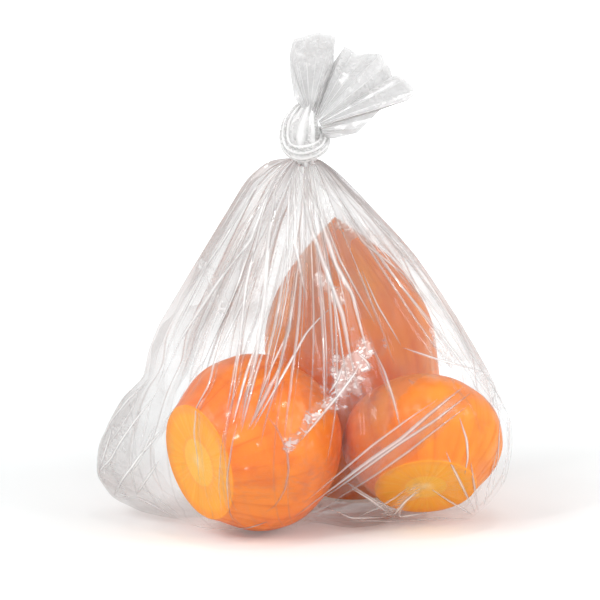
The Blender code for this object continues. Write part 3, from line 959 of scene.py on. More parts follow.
    def even_rows(self, ways: np.ndarray, film: np.ndarray, carrots: np.ndarray) -> tuple[np.ndarray, ...]:
        """What was read, at rows that are evenly spaced along each column from the foot to the neck.

        Args:
            ways: The directions that were read.
            film: The film's distance from the hub in each direction.
            carrots: The carrots' distance, or 0 where there is none.

        Returns:
            The directions of the new rows, and the film's and the carrots' distances in them.
        """
        lengths = np.linalg.norm(np.diff(ways * film[..., None], axis=0), axis=2)
        count = ways.shape[1]
        along = np.concatenate((np.zeros((1, count)), np.cumsum(lengths, axis=0)))
        rays = np.empty((self.rows, count, 3))
        reach, carrot = np.empty((self.rows, count)), np.empty((self.rows, count))
        for column in range(count):
            foot = np.linspace(self.foot_radius, along[-1, column], self.rows)
            for axis in range(3):
                rays[:, column, axis] = np.interp(foot, along[:, column], ways[:, column, axis])
            reach[:, column] = np.interp(foot, along[:, column], film[:, column])
            carrot[:, column] = np.interp(foot, along[:, column], carrots[:, column])
        rays /= np.linalg.norm(rays, axis=2, keepdims=True)
        return rays, reach, carrot

    def flow(self, spots: np.ndarray, rays: np.ndarray) -> np.ndarray:
        """Where each point lies on the film: round the bag in X and Y, and away from the knot in Z.

        Args:
            spots: The film's points, row by row from the foot.
            rays: Their directions from the hub.

        Returns:
            One vector per point.
        """
        turn = np.arctan2(rays[..., 1], rays[..., 0])
        steps = np.linalg.norm(np.diff(spots, axis=0), axis=2)
        away = np.cumsum(steps[::-1], axis=0)
        flow = np.empty(rays.shape)
        flow[..., 0] = np.cos(turn) * self.flow_radius
        flow[..., 1] = np.sin(turn) * self.flow_radius
        flow[..., 2] = np.concatenate((np.zeros((1, rays.shape[1])), away))[::-1]
        return flow

    def grid(self, film: BVHTree, carrots: BVHTree, neck: Vector) -> dict[str, np.ndarray]:
        """The film's points, row by row from the foot to the neck.

        Args:
            film: The film's solid.
            carrots: The carrots' surfaces.
            neck: The middle of the neck.

        Returns:
            The points, their gap to the carrots, their flow and their crumples.
        """
        chance = random.Random(self.seed)
        hub = self.hub(neck)
        ways = self.ways(chance)
        outer = self.reach(film, hub, ways, self.neck_height - 0.6 * MM, around=True)
        inner = self.reach(carrots, hub, ways, self.neck_height, around=False)
        height = hub.z + outer * ways[..., 2]
        free = smooth_step(height, 0.5 * MM, 9.0 * MM) * (1.0 - smooth_step(height, 121.0 * MM, 128.0 * MM))
        fine = self.blurred(outer, 3, 2.0)
        soft = self.blurred(outer, 8, 2.4)
        base = fine + free * (soft - fine)
        rays, reach, carrot = self.even_rows(ways, base, inner)
        room = np.where(carrot > 0.0, reach - carrot, 0.05)
        tight = room * smooth_step(room, self.slack, self.slack * 5.0)
        reach = np.where(carrot > 0.0, carrot + np.maximum(tight, self.clearance), reach)
        down = 1.0 - np.linspace(0.0, 1.0, self.rows)[:, None]
        down = np.broadcast_to(down, reach.shape)
        across = reach * np.hypot(rays[..., 0], rays[..., 1])
        height = hub.z + reach * rays[..., 2]
        loose = smooth_step(room, 0.4 * MM, 5.0 * MM) * smooth_step(height, 1.0 * MM, 16.0 * MM)
        flow = self.flow(np.array(hub) + rays * reach[..., None], rays)
        texture = flow.reshape(-1, 3)
        crease = ridged(texture * np.array([80.0, 80.0, 17.0]), 3).reshape(reach.shape)
        patch = soft_noise(texture * np.array([45.0, 45.0, 30.0]) + 7.0).reshape(reach.shape)
        crumple = np.clip(smooth_step(patch, 0.12, 0.55) * smooth_step(height, 2.0 * MM, 12.0 * MM), 0.0, 1.0)
        crush = ridged(texture * np.array([190.0, 190.0, 110.0]) + 3.0, 3).reshape(reach.shape)
        shift = self.pleats(chance, down, across) * (0.15 + 0.85 * loose)
        shift += (crease - 1.0) * self.crease_depth * (0.12 + 0.88 * loose) * smooth_step(across, 4.0 * MM, 16.0 * MM)
        shift += (crush - 1.0) * self.crush_depth * crumple * (0.2 + 0.8 * loose)
        shift *= smooth_step(height, 0.0, 6.0 * MM) * (1.0 - smooth_step(height, 125.0 * MM, 129.0 * MM))
        reach = reach + shift
        reach = np.where(carrot > 0.0, np.maximum(reach, carrot + self.clearance), reach)
        spots = np.array(hub) + rays * reach[..., None]
        spots[..., 2] = np.maximum(spots[..., 2], self.ground_clearance)
        gap = np.where(carrot > 0.0, reach - carrot, FAR_GAP) / MM
        return {"spots": spots, "gap": np.clip(gap, 0.0, FAR_GAP / MM), "flow": flow, "crumple": crumple}

    def crumple(self, grid: dict[str, np.ndarray], areas: tuple[Fold, ...], viewpoint: Viewpoint) -> None:
        """Crumple the near side of the film where the photograph shows it crumpled.

        Args:
            grid: The film's points and values, which this changes.
            areas: Paths in the photograph, with the spread in its own units.
            viewpoint: The photograph's viewing angle.
        """
        places = viewpoint.shown(grid["spots"])
        ragged = soft_noise(grid["spots"].reshape(-1, 3) * 260.0).reshape(grid["gap"].shape)
        near_side = grid["spots"][..., 1] < viewpoint.neck.y
        found = grid["crumple"] * self.chance_crumple
        for area in areas:
            for start, end in zip(area.path, area.path[1:]):
                from_start = places - np.array(start, float)
                line = np.array(end, float) - np.array(start, float)
                share = np.clip(from_start @ line / line.dot(line), 0.0, 1.0)
                away = np.linalg.norm(from_start - share[..., None] * line, axis=-1)
                away = away + ragged * area.width * self.raggedness
                strength = area.strength * (1.0 - smooth_step(away, area.width * 0.3, area.width))
                found = np.maximum(found, strength * near_side)
        grid["crumple"] = found

    def mesh(self, grid: dict[str, np.ndarray]) -> Sheet:
        """The film as a mesh, closed at the foot and open at the neck.

        Args:
            grid: The film's points and values.

        Returns:
            The mesh.
        """
        rows, columns = grid["gap"].shape
        middle = grid["spots"][0].mean(axis=0)
        spots = np.concatenate((grid["spots"].reshape(-1, 3), middle[None, :]))
        faces = grid_faces(rows, columns, closed=True)
        last = rows * columns
        faces += [((column + 1) % columns, column, last) for column in range(columns)]
        values = {
            "gap": np.append(grid["gap"].ravel(), FAR_GAP / MM),
            "crumple": np.append(grid["crumple"].ravel(), 0.0),
            "fold": self.fold_values(grid),
            "flow": np.concatenate((grid["flow"].reshape(-1, 3), grid["flow"][0].mean(axis=0)[None, :])),
        }
        return Sheet(spots, faces, values)

    def fold_values(self, grid: dict[str, np.ndarray]) -> np.ndarray:
        """How sharply each point is folded, which is most on the fold lines near the neck.

        Args:
            grid: The film's points and values.

        Returns:
            One value per point.
        """
        rows, columns = grid["gap"].shape
        on_line = (np.arange(columns) % (self.between * 2) == 0).astype(float)
        places = grid["flow"].reshape(-1, 3) * np.array([160.0, 160.0, 18.0])
        broken = soft_noise(places).reshape(rows, columns)
        strength = smooth_step(broken, -0.15, 0.25) * on_line[None, :]
        strength *= np.exp(-grid["flow"][..., 2] / self.line_length)
        # The film is drawn white along the fold lines: partly its own white and partly painted highlight.
        return np.append((strength * self.line_white_and_painted_highlight).ravel(), 0.0)


@dataclass
class PressedFolds:
    """Folds that are pressed into the film: narrow doubled strips that lie on it."""

    film: Sheet
    grid: dict[str, np.ndarray]
    viewpoint: Viewpoint
    seed: int = 23
    lift: float = 0.04 * MM
    step: float = 1.0 * MM
    widening: float = 1.9
    whitening_and_highlight: float = 1.25
    crest_height: float = 0.14
    # How white each strip's edges and crest are. The crest is partly the film's own white and partly painted
    # highlight, and one edge is whiter than the other, which is painted light on that side of the fold.
    rail_white_and_painted_highlight: tuple[float, float, float] = (0.15, 1.0, 0.5)
    parts: list[Sheet] = field(default_factory=list)

    def strip(self, spots: np.ndarray, outward: np.ndarray, width: float, strength: float) -> None:
        """Add one strip along a path on the film.

        Args:
            spots: The path's points.
            outward: The film's outward direction at each.
            width: The strip's width in its middle.
            strength: How white the strip is, from 0 to 1; this white is partly painted highlight.
        """
        count = len(spots)
        if count < 3:
            return
        along = np.gradient(spots, axis=0)
        side = np.cross(along, outward)
        side /= np.maximum(np.linalg.norm(side, axis=1, keepdims=True), 1e-9)
        share = np.linspace(0.0, 1.0, count)
        taper = np.clip(np.sin(share * math.pi), 0.0, 1.0)[:, None] ** 0.45
        width *= self.widening
        half = side * (width / 2) * taper
        strength = min(strength * self.whitening_and_highlight, 1.0)
        crest = spots + outward * (self.lift + width * self.crest_height * taper)
        rails = [spots + outward * self.lift - half, crest, spots + outward * self.lift + half]
        ring = np.stack(rails, axis=1).reshape(-1, 3)
        values = {
            "gap": np.zeros(len(ring)),
            "crumple": np.zeros(len(ring)),
            "fold": (strength * taper * np.array(self.rail_white_and_painted_highlight)).ravel(),
            "flow": ring.copy(),
        }
        self.parts.append(Sheet(ring, grid_faces(count, 3, closed=False), values))

    def from_photograph(self, folds: tuple[Fold, ...], tree: BVHTree) -> None:
        """Add the folds that the photograph shows, where its rays meet the film.

        Args:
            folds: The folds.
            tree: The film.
        """
        for fold in folds:
            spots, outward = [], []
            for (x0, y0), (x1, y1) in zip(fold.path, fold.path[1:]):
                length = math.hypot(x1 - x0, y1 - y0) * self.viewpoint.scale
                pieces = max(int(length / self.step), 1)
                for piece in range(pieces):
                    share = piece / pieces
                    start, way = self.viewpoint.ray(x0 + (x1 - x0) * share, y0 + (y1 - y0) * share)
                    spot, normal, _, _ = tree.ray_cast(start, way)
                    if spot is None:
                        continue
                    spots.append(spot)
                    outward.append(normal if normal.dot(way) < 0 else -normal)
            if len(spots) > 4:
                path = self.evened(np.array(spots))
                turned = self.evened(np.array(outward))
                turned /= np.linalg.norm(turned, axis=1, keepdims=True)
                self.strip(path, turned, fold.width, fold.strength)

    def evened(self, values: np.ndarray) -> np.ndarray:
        """A path whose points are averaged with their neighbours."""
        for _ in range(2):
            inner = 0.5 * values[1:-1] + 0.25 * (values[:-2] + values[2:])
            values = np.concatenate((values[:1], inner, values[-1:]))
        return values

    def normals(self) -> np.ndarray:
        """The film's outward direction at each point of its grid."""
        spots = self.grid["spots"]
        along = np.gradient(spots, axis=0)
        around = (np.roll(spots, -1, axis=1) - np.roll(spots, 1, axis=1)) / 2
        turned = np.cross(around, along)
        turned /= np.maximum(np.linalg.norm(turned, axis=2, keepdims=True), 1e-12)
        return turned

    def scattered(self, count: int) -> None:
        """Add long folds by chance all round the bag, from the neck down.

        Args:
            count: How many.
        """
        chance = random.Random(self.seed)
        rows, columns = self.grid["gap"].shape
        normals = self.normals()
        for _ in range(count):
            column = chance.uniform(0.0, columns)
            row, reach = rows * chance.uniform(0.80, 0.96), rows * chance.uniform(0.18, 0.58)
            drift, bend = chance.gauss(0.0, 0.06), chance.gauss(0.0, 0.0003)
            width, strength = chance.uniform(0.4, 0.8) * MM, chance.uniform(0.25, 0.7)
            steps = max(int(reach), 6)
            path, turned = [], []
            for step in range(steps):
                down = reach * step / steps
                if row - down < 2:
                    break
                across = (column + drift * down + bend * down * down) % columns
                low, share = int(across), across - int(across)
                level = int(row - down)
                beside = (low + 1) % columns
                path.append(
                    self.grid["spots"][level, low] * (1 - share) + self.grid["spots"][level, beside] * share
                )
                turned.append(normals[level, low] * (1 - share) + normals[level, beside] * share)
            if len(path) > 5:
                outward = self.evened(np.array(turned))
                outward /= np.linalg.norm(outward, axis=1, keepdims=True)
                self.strip(self.evened(np.array(path)), outward, width, strength)


# Where the film is crumpled in the photograph, with the spread in the photograph's own units.
CRUMPLED = (
    Fold(((362, 354), (350, 374)), 21.0, 1.0),
    Fold(((350, 374), (334, 394)), 15.0, 1.0),
    Fold(((334, 394), (316, 414)), 10.0, 0.9),
    Fold(((316, 414), (302, 430), (290, 446)), 7.0, 0.8),
    Fold(((341, 223), (372, 236), (419, 259)), 8.0, 0.45),
    Fold(((205, 266), (214, 288), (222, 306)), 8.0, 0.75),
    Fold(((320, 278), (330, 292), (340, 304)), 8.0, 0.75),
    Fold(((98, 478), (112, 448), (122, 430)), 11.0, 0.5),
    Fold(((484, 372), (494, 388), (498, 402)), 9.0, 0.9),
    Fold(((390, 514), (404, 500), (418, 488)), 8.0, 0.5),
    Fold(((430, 330), (440, 345), (452, 362)), 5.0, 0.9),
)
# The folds that stand out in the photograph, from the neck down and from left to right.
SEEN_FOLDS = (
    Fold(((275, 163), (262, 176), (240, 214), (222, 243), (200, 275), (180, 306)), 0.7 * MM, 0.7),
    Fold(((268, 160), (255, 172), (243, 193), (229, 216), (215, 240)), 0.6 * MM, 0.6),
    Fold(((281, 168), (266, 199), (251, 240), (217, 284), (181, 339), (166, 372), (160, 386)), 1.0 * MM, 1.0),
    Fold(((284, 168), (270, 189), (263, 213), (246, 286), (239, 352), (230, 420)), 0.7 * MM, 0.8),
    Fold(((288, 165), (275, 191), (269, 237), (266, 286), (256, 359), (246, 400), (240, 432)), 1.1 * MM, 1.0),
    Fold(((262, 215), (235, 293), (205, 360), (187, 386)), 0.7 * MM, 0.85),
    Fold(((291, 170), (288, 223), (287, 276), (290, 300)), 0.6 * MM, 0.8),
    Fold(((294, 164), (295, 211), (296, 247), (307, 303)), 0.8 * MM, 0.9),
    Fold(((297, 168), (312, 230), (334, 291), (343, 315), (351, 360), (358, 385)), 1.2 * MM, 1.0),
    Fold(((300, 168), (321, 220), (336, 264), (353, 296), (365, 344), (372, 362)), 1.1 * MM, 0.9),
    Fold(((303, 168), (327, 226), (341, 262), (362, 300), (379, 330)), 0.6 * MM, 0.6),
    Fold(((309, 172), (340, 206), (363, 242), (406, 276), (436, 320)), 0.7 * MM, 0.5),
    Fold(((316, 168), (352, 198), (392, 240), (428, 285), (452, 318)), 0.6 * MM, 0.55),
    Fold(((331, 169), (370, 206), (423, 254), (460, 305), (482, 342)), 0.6 * MM, 0.6),
    Fold(((334, 305), (321, 317), (307, 332), (292, 359), (276, 388), (250, 434)), 0.6 * MM, 0.85),
    Fold(((292, 286), (290, 330), (275, 360), (262, 392), (250, 430)), 0.6 * MM, 0.6),
    Fold(((402, 347), (377, 305), (360, 266)), 0.5 * MM, 0.6),
    Fold(((401, 347), (440, 360), (470, 368), (495, 375)), 0.6 * MM, 0.75),
    Fold(((372, 345), (385, 372), (394, 400), (402, 436)), 0.6 * MM, 0.6),
    Fold(
        ((467, 384), (430, 414), (400, 440), (365, 464), (330, 490), (306, 508), (290, 520)), 0.9 * MM, 0.85
    ),
    Fold(((470, 404), (436, 430), (408, 452), (374, 476), (340, 497), (322, 512)), 0.6 * MM, 0.6),
    Fold(((476, 386), (430, 424), (380, 462), (330, 500), (300, 516)), 6.0 * MM, 0.22),
    Fold(((472, 392), (436, 420), (396, 446), (352, 478), (312, 506)), 0.7 * MM, 0.8),
    Fold(((440, 398), (410, 418), (372, 446), (336, 476), (300, 506)), 0.6 * MM, 0.6),
    Fold(((262, 330), (247, 372), (232, 428)), 0.7 * MM, 0.8),
    Fold(((270, 330), (256, 374), (240, 436)), 0.6 * MM, 0.7),
    Fold(((250, 300), (238, 352), (226, 416)), 0.6 * MM, 0.6),
    Fold(((286, 356), (268, 392), (246, 434)), 1.0 * MM, 0.6),
    Fold(((459, 416), (467, 440), (468, 458), (464, 478)), 0.6 * MM, 0.8),
    Fold(((478, 519), (462, 486), (450, 462), (444, 446)), 0.6 * MM, 0.7),
    Fold(((479, 518), (474, 484), (470, 458)), 0.6 * MM, 0.6),
    Fold(((481, 518), (488, 486), (497, 452), (500, 440)), 0.6 * MM, 0.7),
    Fold(
        ((262, 410), (277, 428), (287, 450), (289, 470), (285, 490), (276, 505), (262, 515)), 0.6 * MM, 0.35
    ),
    Fold(((238, 420), (232, 445), (227, 480), (229, 510), (236, 528)), 0.5 * MM, 0.5),
    Fold(((225, 424), (221, 452), (219, 486), (222, 516)), 0.5 * MM, 0.35),
    Fold(((322, 505), (352, 518), (392, 517)), 0.8 * MM, 0.8),
    Fold(((350, 487), (372, 500), (392, 516)), 0.8 * MM, 0.8),
    Fold(((392, 517), (404, 502), (420, 488)), 0.9 * MM, 0.9),
    Fold(((404, 503), (398, 517), (432, 512)), 0.6 * MM, 0.8),
    Fold(((190, 524), (215, 531), (245, 529), (272, 520)), 0.6 * MM, 0.7),
    Fold(((340, 520), (400, 521), (440, 518), (478, 519)), 0.6 * MM, 0.7),
    Fold(((430, 488), (448, 500), (478, 518)), 0.6 * MM, 0.7),
    Fold(((340, 478), (362, 492), (384, 505), (402, 518)), 0.6 * MM, 0.6),
    Fold(((410, 486), (396, 497), (378, 508), (352, 519)), 0.6 * MM, 0.6),
    Fold(((433, 335), (441, 346), (450, 358)), 0.8 * MM, 0.8),
    Fold(((160, 386), (150, 404), (146, 424), (140, 450)), 0.7 * MM, 0.7),
    Fold(((132, 372), (138, 392), (132, 410), (118, 432), (100, 455)), 0.7 * MM, 0.7),
    Fold(((155, 425), (148, 442), (140, 460), (128, 476)), 0.7 * MM, 0.7),
    Fold(((120, 440), (112, 458), (100, 470), (96, 486)), 0.6 * MM, 0.8),
    Fold(((104, 410), (112, 430), (104, 456), (98, 474)), 0.7 * MM, 0.8),
    Fold(((158, 392), (136, 420), (118, 446), (104, 476)), 0.9 * MM, 0.9),
    Fold(((150, 380), (128, 400), (112, 420), (103, 440)), 0.7 * MM, 0.8),
    Fold(((162, 430), (140, 456), (122, 480), (112, 500)), 0.8 * MM, 0.8),
    Fold(((160, 460), (146, 480), (134, 498)), 0.6 * MM, 0.7),
    Fold(((128, 396), (134, 430), (130, 466), (138, 500)), 0.6 * MM, 0.6),
    Fold(((186, 388), (178, 404), (166, 420), (160, 444)), 0.6 * MM, 0.6),
    Fold(((485, 372), (496, 388), (492, 404), (505, 416)), 0.6 * MM, 0.6),
    Fold(((118, 497), (140, 498), (166, 512), (190, 525)), 0.7 * MM, 0.7),
    Fold(((140, 486), (160, 500), (182, 516)), 0.6 * MM, 0.6),
    Fold(((500, 380), (507, 410), (508, 450), (500, 490)), 0.8 * MM, 0.8),
    Fold(((492, 384), (500, 420), (498, 460), (490, 500)), 0.6 * MM, 0.6),
    Fold(((366, 350), (356, 372), (338, 396), (318, 420), (296, 446)), 0.7 * MM, 0.8),
    Fold(((344, 362), (338, 380), (326, 398)), 0.6 * MM, 0.8),
    Fold(((356, 352), (368, 362), (371, 374)), 0.6 * MM, 0.8),
)


@dataclass
class Knot:
    """The knot: a rolled loop of film that faces the viewer, and the gathered film drawn through it."""

    viewpoint: Viewpoint
    sides: int = 72
    rings: int = 170
    flutes: int = 9
    flow_radius: float = 6.0 * MM
    crumple: float = 0.35
    rope: tuple[Station, ...] = (
        (311, 110, 0.0, 1.2),
        (305, 108, 1.4, 1.6),
        (299, 110, 3.4, 1.8),
        (293.5, 115, 4.8, 1.9),
        (289.5, 122, 5.4, 2.0),
        (287.5, 130, 5.8, 2.1),
        (287, 138, 6.2, 2.2),
        (289, 145, 6.8, 2.5),
        (294.5, 149.5, 7.2, 2.8),
        (302, 151.5, 7.4, 3.0),
        (310, 151, 7.2, 2.9),
        (317, 148.5, 6.4, 2.6),
        (321.5, 144.5, 5.0, 2.3),
        (323, 139, 3.2, 2.0),
        (321, 133.5, 0.6, 1.8),
        (315, 131, -1.8, 1.6),
        (307, 132, -3.0, 1.3),
    )
    core: tuple[Station, ...] = (
        (305.5, 162, 0.0, 3.3),
        (305, 156, 0.6, 3.6),
        (303.5, 149, 1.6, 4.6),
        (302.5, 141, 2.6, 5.4),
        (302.5, 132, 3.4, 5.5),
        (304, 123, 3.8, 4.8),
        (306.5, 115, 4.0, 3.7),
        (309, 108, 4.2, 2.9),
        (311, 102, 4.4, 2.3),
    )

    def swept(self, stations: tuple[Station, ...], depth: float, twist: float) -> Sheet:
        """A fluted tube of gathered film along a path.

        Args:
            stations: The path: place in the photograph, depth and radius in millimetres.
            depth: How deep the flutes are, as a share of the radius.
            twist: How far the flutes turn from end to end, in radians.

        Returns:
            The mesh, closed at both ends.
        """
        known = np.array([[*self.viewpoint.lifted(x, y, d * MM), r * MM] for x, y, d, r in stations])
        path = self.curve(known)
        middles, radius = path[:, :3], path[:, 3]
        along = np.gradient(middles, axis=0)
        along /= np.linalg.norm(along, axis=1, keepdims=True)
        side = np.cross(along[0], (0.0, 1.0, 0.0))
        side /= np.linalg.norm(side)
        spots, flow, fold = [], [], []
        turn = np.arange(self.sides) * math.tau / self.sides
        travelled = 0.0
        for ring in range(len(middles)):
            side = side - along[ring] * side.dot(along[ring])
            side /= np.linalg.norm(side)
            other = np.cross(along[ring], side)
            share = ring / (len(middles) - 1)
            phase = turn * self.flutes + twist * share * self.flutes
            ridge = np.abs(np.sin(phase / 2 + 0.8 * np.sin(turn + 3.0 * share)))
            wobble = np.array(
                [noise.noise(Vector((math.cos(a) * 1.4, math.sin(a) * 1.4, share * 7.0))) for a in turn]
            )
            reach = radius[ring] * (1.0 + depth * (ridge - 0.55) + 0.12 * wobble)
            ring_spots = middles[ring] + np.outer(reach * np.cos(turn), side)
            spots.append(ring_spots + np.outer(reach * np.sin(turn), other))
            if ring:
                travelled += float(np.linalg.norm(middles[ring] - middles[ring - 1]))
            round_rope = (np.cos(turn) * self.flow_radius, np.sin(turn) * self.flow_radius)
            flow.append(np.stack([*round_rope, np.full(self.sides, travelled)], 1))
            # The crests of the flutes are marked as folds, which the finish draws white: partly the film's own white
            # and partly painted highlight.
            fold.append(smooth_step(ridge, 0.80, 1.0) * 0.8)
        ends = [middles[0], middles[-1]]
        count = len(middles) * self.sides
        faces = grid_faces(len(middles), self.sides, closed=True)
        faces += [((i + 1) % self.sides, i, count) for i in range(self.sides)]
        top = count - self.sides
        faces += [(top + i, top + (i + 1) % self.sides, count + 1) for i in range(self.sides)]
        all_spots = np.concatenate((np.concatenate(spots), np.array(ends)))
        values = {
            "gap": np.full(len(all_spots), FAR_GAP / MM),
            "crumple": np.full(len(all_spots), self.crumple),
            "fold": np.append(np.concatenate(fold), (0.0, 0.0)),
            "flow": np.concatenate((np.concatenate(flow), np.zeros((2, 3)))),
        }
        return Sheet(all_spots, faces, values)

    def curve(self, known: np.ndarray) -> np.ndarray:
        """A smooth curve through the stations, with evenly spaced rings."""
        count = len(known)
        fine = []
        for index in range(count - 1):
            before, start = known[max(index - 1, 0)], known[index]
            end, after = known[index + 1], known[min(index + 2, count - 1)]
            for share in np.linspace(0.0, 1.0, 20, endpoint=False):
                square, cube = share**2, share**3
                fine.append(
                    0.5
                    * (
                        2 * start
                        + (end - before) * share
                        + (2 * before - 5 * start + 4 * end - after) * square
                        + (3 * start - before - 3 * end + after) * cube
                    )
                )
        fine.append(known[-1])
        line = np.array(fine)
        along = np.concatenate(([0.0], np.cumsum(np.linalg.norm(np.diff(line[:, :3], axis=0), axis=1))))
        wanted = np.linspace(0.0, along[-1], self.rings)
        return np.stack([np.interp(wanted, along, line[:, axis]) for axis in range(4)], axis=1)

    def mesh(self) -> Sheet:
        """The whole knot."""
        return self.swept(self.rope, 0.52, 2.2).joined(self.swept(self.core, 0.40, 0.6))


@dataclass
class Ruffle:
    """The open mouth of the bag, which fans out of the knot in two layers of pleated film."""

    viewpoint: Viewpoint
    columns: int = 300
    rows: int = 60
    pleat: int = 10
    seed: int = 17
    flow_radius: float = 26.0 * MM
    flow_length: float = 30.0 * MM
    rim: tuple[Place, ...] = (
        (301, 107),
        (294, 97),
        (292.6, 88),
        (290, 71),
        (289.6, 54),
        (293.3, 39),
        (307, 34.7),
        (318, 32.3),
        (328, 33.5),
        (335.8, 37),
        (334, 54),
        (334.5, 61.4),
        (323, 78.4),
        (319.5, 84.5),
        (331, 66),
        (344.9, 46.3),
        (353.4, 51),
        (358.2, 54.8),
        (367.9, 52.9),
        (381.9, 53.5),
        (389.8, 67.5),
        (392.2, 76),
        (403.1, 76),
        (412.3, 87),
        (417, 92.4),
        (408, 100.3),
        (380, 110),
        (361.9, 128.2),
        (357, 133),
        (332.7, 138.5),
        (325, 138),
    )
    root: tuple[Place, ...] = ((302, 108), (306, 107), (310, 108), (315, 114), (320, 124), (323, 134))

    def along(self, corners: tuple[Place, ...], share: np.ndarray) -> np.ndarray:
        """Places along a line of corners.

        Args:
            corners: The corners, as places in the photograph.
            share: The share of the line's length, for each place.

        Returns:
            One place per row.
        """
        known = np.array(corners, float)
        steps = np.concatenate(([0.0], np.cumsum(np.linalg.norm(np.diff(known, axis=0), axis=1))))
        wanted = share * steps[-1]
        return np.stack([np.interp(wanted, steps, known[:, axis]) for axis in range(2)], axis=1)

    def layer(self, side: float, chance: random.Random) -> tuple[np.ndarray, np.ndarray]:
        """One layer of the fan.

        Args:
            side: 1 for the layer towards the viewer, and -1 for the one behind it.
            chance: The source of chance.

        Returns:
            The layer's points and how sharply each is folded.
        """
        share = np.linspace(0.0, 1.0, self.columns)
        rim = self.along(self.rim, share)
        root = self.along(self.root, share)
        if side < 0:
            rim = root + (rim - root) * 0.965
        out = np.linspace(0.0, 1.0, self.rows)
        places = root[None] + (rim - root)[None] * out[:, None, None]
        knots = self.columns // self.pleat + 2
        heights = np.array([chance.uniform(0.3, 1.0) * (1 if i % 2 else -1) for i in range(knots)])
        spots = np.arange(self.columns)
        wave = np.interp(spots / self.pleat, np.arange(knots), heights)
        on_line = 1.0 - np.abs((spots / self.pleat + 0.5) % 1.0 - 0.5) * 2.0
        on_line = np.clip(on_line * self.pleat / 2 - (self.pleat / 2 - 1.0), 0.0, 1.0)
        open_up = np.sin(share * math.pi) ** 0.5
        flat = np.linalg.norm((rim - root), axis=1) * self.viewpoint.scale
        depth = np.empty((self.rows, self.columns))
        for row, reach in enumerate(out):
            belly = side * open_up * (0.9 + 4.2 * reach**1.5) * MM
            pleat = wave * MM * (0.35 + 1.35 * reach) * np.clip(flat / (20 * MM), 0.2, 1.0)
            sway = 3.2 * MM * np.sin(share * 7.0 + 0.6) * reach * open_up
            depth[row] = 4.4 * MM + belly + pleat * open_up + sway + 2.0 * MM * (1 - reach)
        points = np.empty((self.rows, self.columns, 3))
        for row in range(self.rows):
            for column in range(self.columns):
                x, y = places[row, column]
                points[row, column] = self.viewpoint.lifted(x, y, depth[row, column])
        crush = soft_noise(points.reshape(-1, 3) * 170.0 + side * 4.0).reshape(self.rows, self.columns)
        points[..., 1] += crush * 1.1 * MM * smooth_step(out, 0.15, 0.7)[:, None]
        # The pleat lines and the rim are marked as folds, which the finish draws white: partly the film's own white
        # and partly painted highlight.
        fold = on_line[None, :] * (0.4 + 0.5 * np.array([chance.random() for _ in spots]))[None, :]
        fold = fold * (1.0 - 0.55 * out[:, None])
        fold[-1] = 0.9
        return points, fold

    def mesh(self) -> Sheet:
        """The whole ruffle, one closed band from the root to the rim."""
        chance = random.Random(self.seed)
        front, front_fold = self.layer(1.0, chance)
        behind, behind_fold = self.layer(-1.0, chance)
        points = np.concatenate((front, behind[:, ::-1]), axis=1)
        fold = np.concatenate((front_fold, behind_fold[:, ::-1]), axis=1)
        rows, columns = fold.shape
        turn = np.arange(columns) * math.tau / columns
        flow = np.empty((rows, columns, 3))
        flow[..., 0] = np.cos(turn) * self.flow_radius
        flow[..., 1] = np.sin(turn) * self.flow_radius
        flow[..., 2] = np.linspace(0.0, self.flow_length, rows)[:, None]
        out = np.linspace(0.0, 1.0, rows)[:, None]
        crumple = 0.05 + 0.25 * smooth_step(out, 0.2, 0.8)
        values = {
            "gap": np.full(rows * columns, FAR_GAP / MM),
            "crumple": np.broadcast_to(crumple, fold.shape).ravel(),
            "fold": fold.ravel(),
            "flow": flow.reshape(-1, 3),
        }
        return Sheet(points.reshape(-1, 3), grid_faces(rows, columns, closed=True), values)


@dataclass(frozen=True)
class Lamp:
    """A square area lamp that looks at the bag. Its level is a share of the plain level of light."""

    name: str
    place: tuple[float, float, float]
    size: float
    level: float

    def build(self, target: Vector) -> None:
        """Make the lamp.

        Args:
            target: What it looks at, and what its place is counted from.
        """
        data = bpy.data.lights.new(self.name, "AREA")
        data.shape = "SQUARE"
        data.size = self.size
        way = Vector(self.place)
        data.energy = self.level * math.pi * math.pi * way.length**2
        lamp = bpy.data.objects.new(self.name, data)
        lamp.location = target + way
        lamp.rotation_mode = "QUATERNION"
        lamp.rotation_quaternion = (-way).to_track_quat("-Z", "Y")
        bpy.context.scene.collection.objects.link(lamp)


LAMPS = (
    Lamp("broad_left", (-1.1, -0.9, 1.3), 0.9, 0.32),
    Lamp("broad_right", (1.3, -0.6, 0.9), 0.7, 0.26),
    Lamp("glint_left", (-0.75, -1.0, 0.75), 0.05, 0.09),
    Lamp("glint_right", (0.9, -0.9, 0.55), 0.05, 0.08),
    Lamp("glint_front", (0.1, -1.3, 0.35), 0.04, 0.05),
    Lamp("glint_top", (0.15, -0.25, 1.25), 0.06, 0.08),
    Lamp("glint_back", (-0.5, 1.1, 0.7), 0.06, 0.06),
)


